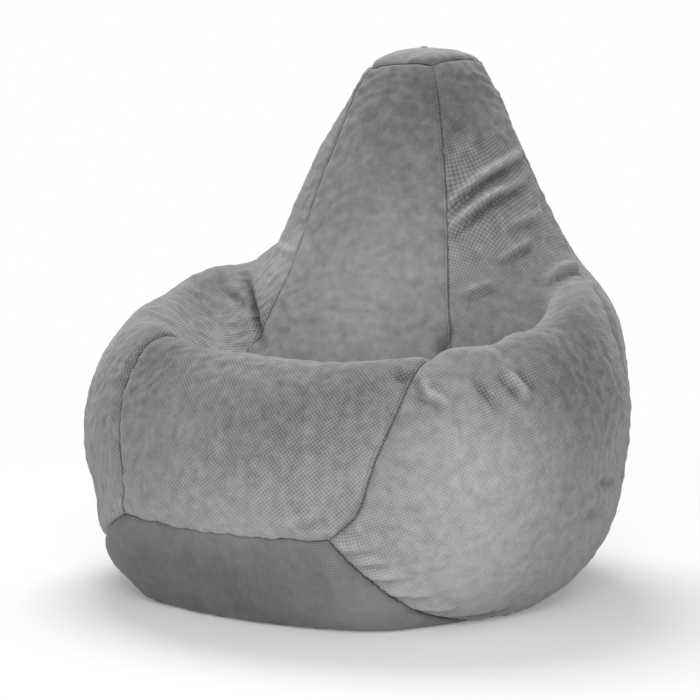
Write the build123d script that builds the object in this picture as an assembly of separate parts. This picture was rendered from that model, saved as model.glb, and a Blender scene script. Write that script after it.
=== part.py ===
from build123d import *
import math
import os
from dataclasses import dataclass

os.makedirs("parts", exist_ok=True)

# Driving sizes in millimetres: the sitter looks towards -Y, +X is on their left, and the floor is z = 0
BODY_WIDTH = 894.0
BODY_DEPTH = 830.0
BACK_HEIGHT = 845.0
FRONT_LIFT = 150.0
BASE_SIDE = 376.0
BASE_SWAY = -27.0
TOP_SIDE = 123.0
TOP_DOME = 20.0
GORE_COUNT = 5

# Cloth and clearances
COVER_THICKNESS = 2.0
LINER_THICKNESS = 0.8
SEAM_GAP = 0.4
LINER_CLEARANCE = 0.8
FILL_CLEARANCE = 1.0

# Zip in the centre back seam: the seam follows one arc there, so the slider can travel along it
REAR_ARC_RADIUS = 930.0
REAR_ARC_HEIGHT = 265.0
ZIP_LOW_HEIGHT = 195.0
ZIP_LENGTH = 400.0
SLOT_HALF_WIDTH = 6.0
SLOT_END = 6.0
TAPE_WIDTH = 13.0
TAPE_THICKNESS = 0.7
TAPE_END = 12.0
COIL_WIDTH = 2.4
COIL_THICKNESS = 2.0
COIL_CHANNEL = 1.4
COIL_CORNERS = 12
STOP_LENGTH = 3.0
SLIDER_WIDTH = 9.0
SLIDER_LENGTH = 11.0
SLIDER_HEAD = 10.4
FLANGE_WIDTH = 1.0
PLATE_THICKNESS = 1.2
POST_LENGTH = 3.0
LUG_WIDTH = 2.4
LUG_LENGTH = 6.0
LUG_HEIGHT = 2.6
PIN_DIAMETER = 1.3
PIN_CLEARANCE = 0.08
PULL_LENGTH = 30.0
PULL_WIDTH = 7.0
PULL_THICKNESS = 1.4
PULL_SLOT_LENGTH = 11.0
RUNNING_CLEARANCE = 0.35
TOUCH = 0.05
LINER_GROOVE = 5.0

# Heights across the zip, measured outward from the arc
COIL_TOP = -0.7
TAPE_TOP = COIL_TOP - COIL_THICKNESS - TOUCH
TAPE_LOW = TAPE_TOP - TAPE_THICKNESS
PLATE_LOW = COIL_TOP + RUNNING_CLEARANCE
PLATE_TOP = PLATE_LOW + PLATE_THICKNESS
KEEL_TOP = TAPE_LOW - RUNNING_CLEARANCE
KEEL_LOW = KEEL_TOP - PLATE_THICKNESS
PIN_HEIGHT = PLATE_TOP + LUG_HEIGHT / 2.0

# Vent eyelet in the top panel
EYELET_BORE = 7.0
EYELET_FLANGE = 13.0
EYELET_WALL = 0.8
EYELET_RIM = 1.0
EYELET_CLEARANCE = 0.3
VENT_DIP = 5.0
FILL_TOP_DROP = 12.0

# The rings are drawn for this width, depth and height, then stretched to the driving sizes
DRAWN_WIDTH = 902.0
DRAWN_DEPTH = 834.0
DRAWN_HEIGHT = 845.0
WIDE = BODY_WIDTH / DRAWN_WIDTH
DEEP = BODY_DEPTH / DRAWN_DEPTH
TALL = BACK_HEIGHT / DRAWN_HEIGHT

# Five gores: their seams lie at these angles from the front, on both sides
HALF_GORE = 180.0 / GORE_COUNT
FRONT_SEAM = HALF_GORE
SIDE_SEAM = 3.0 * HALF_GORE
BACK_SEAM = 5.0 * HALF_GORE
SEAM_HEIGHT = 3.0
TOP_CENTRE = 214.0
TOP_RADIUS = TOP_SIDE / (2.0 * math.sin(math.radians(HALF_GORE)))
VENT_RADIUS = EYELET_BORE / 2.0 + EYELET_WALL + EYELET_CLEARANCE

# The arc of the zip
ARC_CENTRE_Y = 413.0 * DEEP - REAR_ARC_RADIUS
ARC_CENTRE_Z = REAR_ARC_HEIGHT * TALL
ZIP_AXIS = Axis((0.0, ARC_CENTRE_Y, ARC_CENTRE_Z), (1.0, 0.0, 0.0))
ZIP_START = math.degrees(math.asin((ZIP_LOW_HEIGHT * TALL - ARC_CENTRE_Z) / REAR_ARC_RADIUS))
ZIP_RUN = ZIP_LENGTH * TALL

# How finely the cloth is drawn
ROW_STEPS = 2
COLUMN_STEPS = 4
PANEL_STEPS = 3
PROBE = 0.02
PROBE_TURN = 1.0


def rear_reach(height):
    """Rear reach, before stretching, of a ring whose back lies on the arc of the zip."""
    rise = height * TALL - ARC_CENTRE_Z
    return (ARC_CENTRE_Y + math.sqrt(REAR_ARC_RADIUS**2 - rise**2)) / DEEP


@dataclass
class Ring:
    """One turn round the bag: its reach at the front, sides and rear, with a height for each."""

    front: float
    half_width: float
    widest_at: float
    rear: float
    front_height: float
    side_height: float
    rear_height: float
    squareness: float = 1.0
    roundness: float = 1.0
    front_seam: float = FRONT_SEAM
    sway: float = 0.0
    tilt: float = 0.0

    def turn(self, size):
        """Angle at which this ring carries a seam or column."""
        if size <= FRONT_SEAM:
            return size * self.front_seam / FRONT_SEAM
        if size <= SIDE_SEAM:
            share = (size - FRONT_SEAM) / (SIDE_SEAM - FRONT_SEAM)
            return self.front_seam + share * (SIDE_SEAM - self.front_seam)
        return size

    def point(self, angle):
        """Point at an angle in degrees from the front, positive towards +X."""
        wrapped = (angle + BACK_SEAM) % (2.0 * BACK_SEAM) - BACK_SEAM
        size = abs(wrapped)
        turn = math.radians(self.turn(size))
        from_middle = (size + HALF_GORE) % (2.0 * HALF_GORE) - HALF_GORE
        flat = math.cos(math.radians(HALF_GORE)) / math.cos(math.radians(from_middle))
        swell = 1.0 - (1.0 - self.roundness) * (1.0 - flat)
        sideways = max(0.0, math.sin(turn)) ** self.squareness
        lengthways = abs(math.cos(turn)) ** self.squareness
        facing_front = math.cos(turn) > 0.0
        end = (self.front if facing_front else self.rear) * DEEP
        end_height = (self.front_height if facing_front else self.rear_height) * TALL
        x = math.copysign(self.half_width * WIDE * sideways * swell, wrapped)
        x += self.sway * min(1.0, (BACK_SEAM - size) / (BACK_SEAM - SIDE_SEAM))
        y = self.widest_at * DEEP + (end - self.widest_at * DEEP) * lengthways * swell
        z = self.side_height * TALL + (end_height - self.side_height * TALL) * lengthways
        return Vector(x, y, z + self.tilt * math.sin(math.radians(angle)))


@dataclass
class Corners:
    """Edge of a panel with a corner at each seam, from the front right one round to the front left one."""

    corners: list
    bulges: list
    falls: list

    def point(self, angle):
        """Point at an angle in degrees from the front, positive towards +X."""
        sides = ((angle - FRONT_SEAM) % (2.0 * BACK_SEAM)) / (2.0 * HALF_GORE)
        side = int(sides)
        share = sides - side
        start, end = Vector(self.corners[side]), Vector(self.corners[(side + 1) % len(self.corners)])
        outward = Vector(end.Y - start.Y, start.X - end.X).normalized()
        place = start + (end - start) * share + outward * (self.bulges[side] * 4.0 * share * (1.0 - share))
        climb = (share if end.Z > start.Z else 1.0 - share) ** self.falls[side]
        height = min(start.Z, end.Z) + abs(end.Z - start.Z) * climb
        return Vector(place.X * WIDE, place.Y * DEEP, height * TALL)


# Floor contact and base edge: the front of the bottom panel stands up and its rear lies flat on the floor
LIFT, HALF_BASE = FRONT_LIFT / TALL, BASE_SIDE / 2.0 / WIDE
FRONT_RIGHT, FRONT_LEFT = BASE_SWAY + HALF_BASE, BASE_SWAY - HALF_BASE
CONTACT = Corners(
    [
        (140.0, -300.0, 0.0), (262.0, -155.0, 0.0), (-20.0, 75.0, 0.0),
        (-295.0, -70.0, 0.0), (-190.0, -290.0, 0.0),
    ],
    bulges=[30.0, 10.0, 10.0, 40.0, 25.0],
    falls=[1.0] * GORE_COUNT,
)
BASE = Corners(
    [
        (FRONT_RIGHT, -377.0, LIFT), (285.0, -165.0, SEAM_HEIGHT), (-20.0, 112.0, SEAM_HEIGHT),
        (-332.0, -60.0, SEAM_HEIGHT), (FRONT_LEFT, -362.0, LIFT),
    ],
    bulges=[8.0, 12.0, 12.0, 57.0, 0.0],
    falls=[1.8, 1.0, 1.0, 1.0, 1.0],
)

# Turns of the gores from the floor upwards: bulges, widest turn, seat rim, hollow, back and top edge
FLOOR_SAG = Corners(
    [
        (FRONT_RIGHT + 25.0, -382.0, 168.0), (318.0, -48.0, 6.0), (-8.0, 205.0, 8.0),
        (-356.0, -48.0, 18.0), (FRONT_LEFT, -368.0, 168.0),
    ],
    bulges=[48.0, 45.0, 45.0, 62.0, 26.0],
    falls=[2.2, 1.0, 1.0, 1.0, 1.0],
)
LOWER_BULGE = Ring(-425.0, 415.0, -65.0, rear_reach(105.0), 205.0, 85.0, 105.0, 1.0, 0.9, 30.0)
WIDEST = Ring(-405.0, 446.0, -40.0, rear_reach(190.0), 272.0, 225.0, 190.0, 1.0, 1.06, 30.5)
UPPER_BULGE = Ring(-372.0, 436.0, -25.0, rear_reach(340.0), 342.0, 340.0, 340.0, 0.95, 1.06, 33.0, sway=2.0)
SEAT_RIM = Ring(-310.0, 368.0, -10.0, rear_reach(478.0), 397.0, 460.0, 478.0, 0.8, 1.04, sway=12.0, tilt=-6.0)
SEAT_HOLLOW = Ring(-90.0, 300.0, 110.0, rear_reach(550.0), 330.0, 482.0, 550.0, 0.8, tilt=-4.0)
LOWER_BACK = Ring(-25.0, 248.0, 170.0, rear_reach(620.0), 450.0, 545.0, 620.0, 0.85)
UPPER_BACK = Ring(58.0, 180.0, 190.0, 304.0, 690.0, 700.0, 720.0, 0.95, 0.9, tilt=4.0)
TOP = Ring(
    TOP_CENTRE - TOP_RADIUS / DEEP, TOP_RADIUS / WIDE, TOP_CENTRE, TOP_CENTRE + TOP_RADIUS / DEEP,
    DRAWN_HEIGHT, DRAWN_HEIGHT, DRAWN_HEIGHT, roundness=0.0, tilt=7.0,
)
BODY_RINGS = [
    BASE, FLOOR_SAG, LOWER_BULGE, WIDEST, UPPER_BULGE, SEAT_RIM, SEAT_HOLLOW, LOWER_BACK, UPPER_BACK, TOP,
]
TOP_PLACE = len(BODY_RINGS) - 1.0


def along_curve(points, place):
    """Smooth curve through the points, eased by their spacing; place counts the points from 0."""
    lengths = [(after - before).length for before, after in zip(points, points[1:])]
    slopes = [(after - before) / length for before, after, length in zip(points, points[1:], lengths)]
    bends = [
        (slopes[i - 1] * lengths[i] + slopes[i] * lengths[i - 1]) / (lengths[i - 1] + lengths[i])
        for i in range(1, len(slopes))
    ]
    tangents = [slopes[0], *bends, slopes[-1]]
    first = min(int(place), len(slopes) - 1)
    share = place - first
    square, cube = share**2, share**3
    leave, arrive = tangents[first] * lengths[first], tangents[first + 1] * lengths[first]
    near = points[first] * (2.0 * cube - 3.0 * square + 1.0) + leave * (cube - 2.0 * square + share)
    far = points[first + 1] * (3.0 * square - 2.0 * cube) + arrive * (cube - square)
    return near + far


def body_point(place, angle):
    """Outside of the gores: place counts rings from the base edge to the top edge."""
    return along_curve([ring.point(angle) for ring in BODY_RINGS], place)


def base_point(place, angle):
    """Outside of the bottom panel: place runs from 0 on the floor to 1 at the base edge."""
    start, finish = CONTACT.point(angle), BASE.point(angle)
    quarter = place * math.pi / 2.0
    out = 0.6 * math.sin(quarter) + 0.4 * place
    rise = 0.6 * (1.0 - math.cos(quarter)) + 0.4 * place
    flat = start + (finish - start) * out
    return Vector(flat.X, flat.Y, start.Z + (finish.Z - start.Z) * rise)


def top_point(place, angle):
    """Outside of the top panel: place runs from 0 at the top edge to 1 at the rim of the vent."""
    start, spin = TOP.point(angle), math.radians(angle)
    finish = Vector(VENT_RADIUS * math.sin(spin), TOP_CENTRE * DEEP - VENT_RADIUS * math.cos(spin))
    flat = start + (finish - start) * place
    rise = (BACK_HEIGHT + TOP_DOME - start.Z) * math.sin(place * math.pi / 2.0)
    return Vector(flat.X, flat.Y, start.Z + rise)


def directions(surface, place, angle, highest):
    """Unit vectors along, across and into a surface."""
    along = surface(min(highest, place + PROBE), angle) - surface(max(0.0, place - PROBE), angle)
    across = surface(place, angle + PROBE_TURN) - surface(place, angle - PROBE_TURN)
    return along.normalized(), across.normalized(), along.cross(across).normalized()


def seam_inward(panel, panel_place, body_place, angle):
    """Direction into the bag on the seam between the gores and a panel, halfway between the two cloths."""
    of_panel = directions(panel, panel_place, angle, 1.0)[2]
    of_body = directions(body_point, body_place, angle, TOP_PLACE)[2]
    middle = (of_panel + of_body).normalized()
    return middle / max(0.5, middle.dot(of_body))


def base_inward(angle):
    """Direction into the bag on the base edge."""
    return seam_inward(base_point, 1.0, 0.0, angle)


def top_inward(angle):
    """Direction into the bag on the top edge."""
    return seam_inward(top_point, 0.0, TOP_PLACE, angle)


def zip_share(place, angle):
    """1 on the centre back seam along the zip, fading to 0 beyond its ends and beside it."""
    height = body_point(place, BACK_SEAM).Z / TALL
    outside = max(ZIP_LOW_HEIGHT - height, height - ZIP_LOW_HEIGHT - ZIP_LENGTH, 0.0)
    beside = abs(angle - BACK_SEAM) / (HALF_GORE / 2.0)
    return max(0.0, 1.0 - outside / TAPE_END / 3.0) * max(0.0, 1.0 - beside)


def gore_column(angle, side, depth, groove=0.0, gap=SEAM_GAP / 2.0):
    """Points up one gore at an angle; side is 1 on its left seam, -1 on its right seam and 0 between."""
    column = []
    steps = int(TOP_PLACE) * ROW_STEPS
    for row in range(steps + 1):
        place = row / ROW_STEPS
        along, across, inward = directions(body_point, place, angle, TOP_PLACE)
        point = body_point(place, angle) + across * (side * gap)
        if row == 0:
            point, inward = point + along * gap, base_inward(angle)
        if row == steps:
            point, inward = point - along * gap, top_inward(angle)
        column.append(point + inward * (depth + groove * zip_share(place, angle)))
    return column


def base_column(angle, depth):
    """Points of the bottom panel from the floor contact to the base edge."""
    column = []
    for step in range(PANEL_STEPS + 1):
        place = step / PANEL_STEPS
        along, _, inward = directions(base_point, place, angle, 1.0)
        point = base_point(place, angle)
        if step == 0:
            inward = Vector(0.0, 0.0, 1.0)
        if step == PANEL_STEPS:
            point, inward = point - along * (SEAM_GAP / 2.0), base_inward(angle)
        column.append(point + inward * depth)
    return column


def top_column(angle, depth, dip=0.0):
    """Points of the top panel from the top edge to the rim of the vent."""
    column = []
    for step in range(PANEL_STEPS + 1):
        place = step / PANEL_STEPS
        along, _, inward = directions(top_point, place, angle, 1.0)
        point = top_point(place, angle) - Vector(0.0, 0.0, dip * place)
        if step == 0:
            point, inward = point + along * (SEAM_GAP / 2.0), top_inward(angle)
        if step == PANEL_STEPS:
            inward = Vector(0.0, 0.0, -1.0)
        column.append(point + inward * depth)
    return column


def sector(columns):
    """Smooth face through columns of points."""
    return Shell.make_loft([Wire([Edge.make_spline(column)]) for column in columns]).faces()[0]


def spread(left, right):
    """Angles of the columns between two seams, each with its side."""
    for column in range(COLUMN_STEPS + 1):
        side = 1 if column == 0 else -1 if column == COLUMN_STEPS else 0
        yield left + (right - left) * column / COLUMN_STEPS, side


def nearest_edge(face, point):
    """The edge of a face whose middle lies nearest a point."""
    return min(face.edges(), key=lambda edge: (edge.position_at(0.5) - point).length)


def strip(outer, inner, outer_point, inner_point):
    """Narrow face that closes the cloth along one edge."""
    return Face.make_surface_from_curves(nearest_edge(outer, outer_point), nearest_edge(inner, inner_point))


def gore(left, right, outside, inside, groove=0.0):
    """Closed thin gore between two seams and two depths."""
    turns = list(spread(left, right))
    grids = [[gore_column(a, s, depth, groove) for a, s in turns] for depth in (outside, inside)]
    outer, inner = (sector(grid) for grid in grids)
    middle_row, middle_column = len(grids[0][0]) // 2, COLUMN_STEPS // 2
    faces = [outer, inner]
    for column, row in ((middle_column, 0), (middle_column, -1), (0, middle_row), (-1, middle_row)):
        faces.append(strip(outer, inner, grids[0][column][row], grids[1][column][row]))
    return Solid(Shell(faces))


def seams():
    """Left and right angle of every gore, starting with the front one."""
    for number in range(GORE_COUNT):
        middle = 2.0 * HALF_GORE * number
        yield middle - HALF_GORE, middle + HALF_GORE


def rim(faces, row_points):
    """Flat face inside the edges of five sectors that lie nearest the given points."""
    return Face(Wire([nearest_edge(face, point) for face, point in zip(faces, row_points)]))


def panel(column_of, outside, inside, closed_row, open_row):
    """Closed thin panel of five sectors; closed_row gets a flat cap, or the hole an edge where it is None."""
    faces = []
    middle = COLUMN_STEPS // 2
    shells, grids = [], []
    for depth in (outside, inside):
        grid = [[column_of(a, depth) for a, _ in spread(left, right)] for left, right in seams()]
        grids.append(grid)
        shells.append([sector(columns) for columns in grid])
    for outer, inner, outer_grid, inner_grid in zip(*shells, *grids):
        edge = strip(outer, inner, outer_grid[middle][open_row], inner_grid[middle][open_row])
        faces += [outer, inner, edge]
        if closed_row is None:
            hole = -1 - open_row
            faces.append(strip(outer, inner, outer_grid[middle][hole], inner_grid[middle][hole]))
    if closed_row is not None:
        for shell, grid in zip(shells, grids):
            faces.append(rim(shell, [columns[middle][closed_row] for columns in grid]))
    return Solid(Shell(faces))


def bead_fill(depth):
    """Solid body of the beads: five sides and five floor sectors between two flat caps, joined by strips."""
    faces, sides, floors = [], [], []
    high_points, low_points = [], []
    middle = COLUMN_STEPS // 2
    for left, right in seams():
        side_columns, floor_columns = [], []
        for angle, _ in spread(left, right):
            column = gore_column(angle, 0, depth, LINER_GROOVE)
            column[-1] = Vector(column[-1].X, column[-1].Y, BACK_HEIGHT - FILL_TOP_DROP)
            side_columns.append(column)
            floor_columns.append(base_column(angle, depth)[::-1])
        side, floor = sector(side_columns), sector(floor_columns)
        sides.append(side)
        floors.append(floor)
        faces += [side, floor, strip(side, floor, side_columns[middle][0], floor_columns[middle][0])]
        high_points.append(side_columns[middle][-1])
        low_points.append(floor_columns[middle][-1])
    return Solid(Shell([*faces, rim(sides, high_points), rim(floors, low_points)]))


def arc_point(across, outward, travel):
    """Point beside the zip, after a travel along it from its lower end."""
    swing = math.radians(ZIP_START) + travel / REAR_ARC_RADIUS
    reach = REAR_ARC_RADIUS + outward
    return Vector(across, ARC_CENTRE_Y + reach * math.cos(swing), ARC_CENTRE_Z + reach * math.sin(swing))


def arc_bar(outline, start, length):
    """Bar along the zip: an outline of (across, outward) points swept over a travel."""
    section = Face(Wire.make_polygon([arc_point(x, h, start) for x, h in outline], close=True))
    return Solid.revolve(section, math.degrees(length / REAR_ARC_RADIUS), ZIP_AXIS)


def oblong(near, far, low, high):
    """Rectangular outline for a bar along the zip."""
    return [(near, low), (far, low), (far, high), (near, high)]


def coil_outline(hand):
    """Rounded outline of one half of the coil."""
    middle_x = hand * (COIL_CHANNEL + COIL_WIDTH) / 2.0
    middle_h = COIL_TOP - COIL_THICKNESS / 2.0
    turns = [math.tau * corner / COIL_CORNERS for corner in range(COIL_CORNERS)]
    return [
        (middle_x + COIL_WIDTH / 2.0 * math.cos(turn), middle_h + COIL_THICKNESS / 2.0 * math.sin(turn))
        for turn in turns
    ]


def block(near, far, up, down, low, high):
    """Box beside the slider: across, along the zip from up to down, and outward."""
    size = Box(far - near, down - up, high - low)
    return Pos((near + far) / 2.0, (up + down) / 2.0, (low + high) / 2.0) * size


def cross_rod(radius, length):
    """Round rod across the zip at the height of the pull's pin."""
    return Pos(0.0, 0.0, PIN_HEIGHT) * Rot(0.0, 90.0, 0.0) * Cylinder(radius, length)


def at_slider(shape):
    """Moves a piece drawn round the origin to where the closed slider sits on the zip."""
    travel = ZIP_RUN - SLIDER_LENGTH / 2.0 - RUNNING_CLEARANCE
    middle = arc_point(0.0, 0.0, travel)
    outward = arc_point(0.0, 1.0, travel) - middle
    return Plane(middle, x_dir=(1.0, 0.0, 0.0), z_dir=outward).location * shape


def slider():
    """Slider with an upper plate, two flanges, a post between the coils, a keel and a lug for the pull."""
    half, head, end = SLIDER_WIDTH / 2.0, SLIDER_HEAD / 2.0, SLIDER_LENGTH / 2.0
    corners = [(-head, -end), (head, -end), (half, 0.0), (half, end), (-half, end), (-half, 0.0)]
    outline = make_face(Polyline(*corners, close=True))
    outline = fillet(outline.vertices(), FLANGE_WIDTH)
    plate = Pos(0.0, 0.0, PLATE_LOW) * extrude(outline, PLATE_THICKNESS)
    keel = Pos(0.0, 0.0, KEEL_LOW) * extrude(outline, PLATE_THICKNESS)
    post_half = COIL_CHANNEL / 2.0 - RUNNING_CLEARANCE
    post_start = FLANGE_WIDTH - end
    post = block(-post_half, post_half, post_start, post_start + POST_LENGTH, KEEL_TOP, PLATE_LOW)
    body = plate + keel + post
    for hand in (-1.0, 1.0):
        inner, outer = sorted((hand * (half - FLANGE_WIDTH), hand * half))
        body += block(inner, outer, 0.0, end - FLANGE_WIDTH, TAPE_TOP + RUNNING_CLEARANCE, PLATE_LOW)
    across, along = LUG_WIDTH / 2.0, LUG_LENGTH / 2.0
    lug = block(-across, across, -along, along, PLATE_TOP, PLATE_TOP + LUG_HEIGHT)
    lug = fillet(lug.edges().filter_by(Axis.X).group_by(Axis.Z)[-1], LUG_HEIGHT / 3.0)
    return body + lug - cross_rod(PIN_DIAMETER / 2.0 + PIN_CLEARANCE, 2.0 * LUG_WIDTH)


def pull():
    """Pull tab: two arms beside the lug, a pin through it and a tab with an oblong hole."""
    side, thick = PULL_WIDTH / 2.0, PULL_THICKNESS / 2.0
    inner = LUG_WIDTH / 2.0 + RUNNING_CLEARANCE
    tab_start = LUG_LENGTH / 2.0 + 2.0 * RUNNING_CLEARANCE
    low, high = PIN_HEIGHT - thick, PIN_HEIGHT + thick
    tab = block(-side, side, tab_start, PULL_LENGTH, low, high)
    tab = fillet(tab.edges().filter_by(Axis.Z).group_by(Axis.Y)[-1], side - COIL_WIDTH / 2.0)
    hole = extrude(SlotOverall(PULL_SLOT_LENGTH, side, rotation=90), PULL_WIDTH, both=True)
    tab -= Pos(0.0, PULL_LENGTH - PULL_WIDTH / 3.0 - PULL_SLOT_LENGTH / 2.0, PIN_HEIGHT) * hole
    arm_end = tab_start + thick
    arms = block(-side, -inner, 0.0, arm_end, low, high) + block(inner, side, 0.0, arm_end, low, high)
    eyes = cross_rod(thick, PULL_WIDTH) - cross_rod(PULL_WIDTH, 2.0 * inner)
    return tab + arms + eyes + cross_rod(PIN_DIAMETER / 2.0, PULL_WIDTH - LUG_WIDTH / 2.0)


def turned(profile):
    """Ring turned about the middle of the vent from a profile of (radius, height) points."""
    corners = [(radius, TOP_CENTRE * DEEP, height) for radius, height in profile]
    axis = Axis((0.0, TOP_CENTRE * DEEP, 0.0), (0.0, 0.0, 1.0))
    return Solid.revolve(Face(Wire.make_polygon(corners, close=True)), 360.0, axis)


def vent():
    """Eyelet pressed through the top panel, and the washer it is rolled over."""
    bore, flange, crown = EYELET_BORE / 2.0, EYELET_FLANGE / 2.0, BACK_HEIGHT + TOP_DOME
    neck = bore + EYELET_WALL
    seat = crown + EYELET_CLEARANCE
    washer_top = crown - COVER_THICKNESS - EYELET_CLEARANCE
    washer_low = washer_top - EYELET_RIM
    roll = washer_low - TOUCH
    eyelet = [
        (bore, seat + EYELET_RIM), (flange - EYELET_RIM, seat + EYELET_RIM), (flange, seat), (neck, seat),
        (neck, roll), (neck + EYELET_WALL, roll), (neck + EYELET_WALL, roll - EYELET_WALL),
        (bore, roll - EYELET_WALL),
    ]
    clear = neck + TOUCH
    washer = [(clear, washer_low), (flange, washer_low), (flange, washer_top), (clear, washer_top)]
    return turned(eyelet), turned(washer)


def liner_top_column(angle, depth):
    """Points of the top of the inner bag, which dips below the eyelet."""
    return top_column(angle, depth, VENT_DIP)


# Build every piece
GORE_NAMES = ["front", "right", "right_rear", "left_rear", "left"]
LINER_OUTSIDE = COVER_THICKNESS + LINER_CLEARANCE
LINER_INSIDE = LINER_OUTSIDE + LINER_THICKNESS
SLOT_DEPTH = 3.0 * COVER_THICKNESS
slot_outline = oblong(-SLOT_HALF_WIDTH, SLOT_HALF_WIDTH, -SLOT_DEPTH, SLOT_DEPTH)
slot = arc_bar(slot_outline, -SLOT_END, ZIP_RUN + 2.0 * SLOT_END)
pieces = {}
for name, (left, right) in zip(GORE_NAMES, seams()):
    cover = gore(left, right, 0.0, COVER_THICKNESS)
    pieces[f"{name}_gore"] = cover - slot if "rear" in name else cover
    pieces[f"liner_{name}_gore"] = gore(left, right, LINER_OUTSIDE, LINER_INSIDE, LINER_GROOVE)
pieces["bottom_panel"] = panel(base_column, 0.0, COVER_THICKNESS, 0, -1)
pieces["top_panel"] = panel(top_column, 0.0, COVER_THICKNESS, None, 0)
pieces["liner_bottom"] = panel(base_column, LINER_OUTSIDE, LINER_INSIDE, 0, -1)
pieces["liner_top"] = panel(liner_top_column, LINER_OUTSIDE, LINER_INSIDE, -1, 0)
pieces["bead_fill"] = bead_fill(LINER_INSIDE + FILL_CLEARANCE)
pieces["vent_eyelet"], pieces["vent_washer"] = vent()

tape_length = ZIP_RUN + 2.0 * TAPE_END
for hand, side in ((-1.0, "left"), (1.0, "right")):
    near = hand * COIL_CHANNEL / 2.0
    tape_outline = oblong(near, near + hand * TAPE_WIDTH, TAPE_LOW, TAPE_TOP)
    pieces[f"zip_tape_{side}"] = arc_bar(tape_outline, -TAPE_END, tape_length)
    pieces[f"zip_coil_{side}"] = arc_bar(coil_outline(hand), 0.0, ZIP_RUN)
    stop_outline = oblong(near, near + hand * COIL_WIDTH, TAPE_TOP + TOUCH, COIL_TOP)
    pieces[f"zip_top_stop_{side}"] = arc_bar(stop_outline, ZIP_RUN + TOUCH, STOP_LENGTH)
stop_half = COIL_CHANNEL / 2.0 + COIL_WIDTH
stop_outline = oblong(-stop_half, stop_half, TAPE_TOP + TOUCH, COIL_TOP)
pieces["zip_bottom_stop"] = arc_bar(stop_outline, -STOP_LENGTH - TOUCH, STOP_LENGTH)
pieces["zip_slider"] = at_slider(slider())
pieces["zip_pull"] = at_slider(pull())

for name, shape in pieces.items():
    export_step(shape, f"parts/{name}.step")
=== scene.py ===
"""Looks of a pear-shaped bean bag chair in grey velour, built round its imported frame."""

import logging
import math
from collections.abc import Callable, Iterator
from contextlib import contextmanager
from dataclasses import dataclass, field
from enum import Enum

import bpy
import numpy as np
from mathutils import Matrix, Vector, noise
from mathutils.bvhtree import BVHTree


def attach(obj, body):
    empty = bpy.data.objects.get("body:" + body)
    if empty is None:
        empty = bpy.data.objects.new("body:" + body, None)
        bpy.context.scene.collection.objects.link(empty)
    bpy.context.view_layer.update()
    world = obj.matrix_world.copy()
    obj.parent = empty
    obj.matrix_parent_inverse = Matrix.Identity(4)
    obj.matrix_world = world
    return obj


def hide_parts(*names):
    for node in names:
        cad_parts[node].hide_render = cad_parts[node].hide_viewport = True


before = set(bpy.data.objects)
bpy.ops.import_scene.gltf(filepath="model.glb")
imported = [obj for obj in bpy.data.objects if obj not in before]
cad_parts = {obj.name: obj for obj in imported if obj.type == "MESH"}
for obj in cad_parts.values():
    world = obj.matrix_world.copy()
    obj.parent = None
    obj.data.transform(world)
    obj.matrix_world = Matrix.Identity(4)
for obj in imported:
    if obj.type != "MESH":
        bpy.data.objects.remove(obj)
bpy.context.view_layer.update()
BAG_BODY = "bag"
TINY_LENGTH = 1e-6
LOG = logging.getLogger("bean_bag")
Colour = tuple[float, float, float, float]
Place = tuple[float, float, float]
Inputs = dict[str | int, object]
Piece = bpy.types.Object
Socket = bpy.types.NodeSocket


class Panel(Enum):
    """The seven cloth panels of the cover, named after the solids they stand for."""

    FRONT = "front_gore"
    RIGHT = "right_gore"
    RIGHT_REAR = "right_rear_gore"
    LEFT_REAR = "left_rear_gore"
    LEFT = "left_gore"
    BOTTOM = "bottom_panel"
    TOP = "top_panel"


PANELS = list(Panel)
GORES = [panel for panel in PANELS if panel.value.endswith("gore")]


class Side(Enum):
    """The two halves of the zip, with the direction of each along X."""

    LEFT = -1.0
    RIGHT = 1.0


@dataclass(frozen=True)
class ClothFinish:
    """Finish of one cloth.

    Attributes:
        name: Name of the material.
        dark: Colour in the hollows of the pile.
        light: Colour on the brushed pile.
        roughness: Roughness of the cloth.
        sheen: Weight of the soft sheen at grazing angles.
        pitch: Distance between the dots of the weave, in metres.
        depth: Strength of the weave's relief.
        cloud: Size of the brushed patches, in metres.
    """

    name: str
    dark: Colour
    light: Colour
    roughness: float
    sheen: float
    pitch: float
    depth: float
    cloud: float


@dataclass(frozen=True)
class HardFinish:
    """Finish of a lacquered or moulded piece.

    Attributes:
        name: Name of the material.
        colour: Base colour.
        worn: Colour of the rubbed patches.
        roughness: Roughness of the clean surface.
        metallic: Share of metal, 0 or 1.
        grain: Size of the fine grain, in metres.
    """

    name: str
    colour: Colour
    worn: Colour
    roughness: float
    metallic: float
    grain: float


VELOUR = ClothFinish(
    name="velour",
    dark=(0.100, 0.100, 0.102, 1.0),
    light=(0.480, 0.480, 0.485, 1.0),
    roughness=0.82,
    sheen=0.35,
    pitch=0.0052,
    depth=0.60,
    cloud=0.020,
)
BASE_CLOTH = ClothFinish(
    name="base_cloth",
    dark=(0.085, 0.085, 0.087, 1.0),
    light=(0.260, 0.260, 0.264, 1.0),
    roughness=0.88,
    sheen=0.15,
    pitch=0.0056,
    depth=0.25,
    cloud=0.060,
)
LINER_CLOTH = ClothFinish(
    name="liner_cloth",
    dark=(0.140, 0.140, 0.142, 1.0),
    light=(0.240, 0.240, 0.243, 1.0),
    roughness=0.75,
    sheen=0.0,
    pitch=0.004,
    depth=0.10,
    cloud=0.030,
)
BEAD_MASS = ClothFinish(
    name="beads",
    dark=(0.62, 0.62, 0.62, 1.0),
    light=(0.76, 0.76, 0.76, 1.0),
    roughness=0.70,
    sheen=0.0,
    pitch=0.004,
    depth=0.80,
    cloud=0.010,
)
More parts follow.
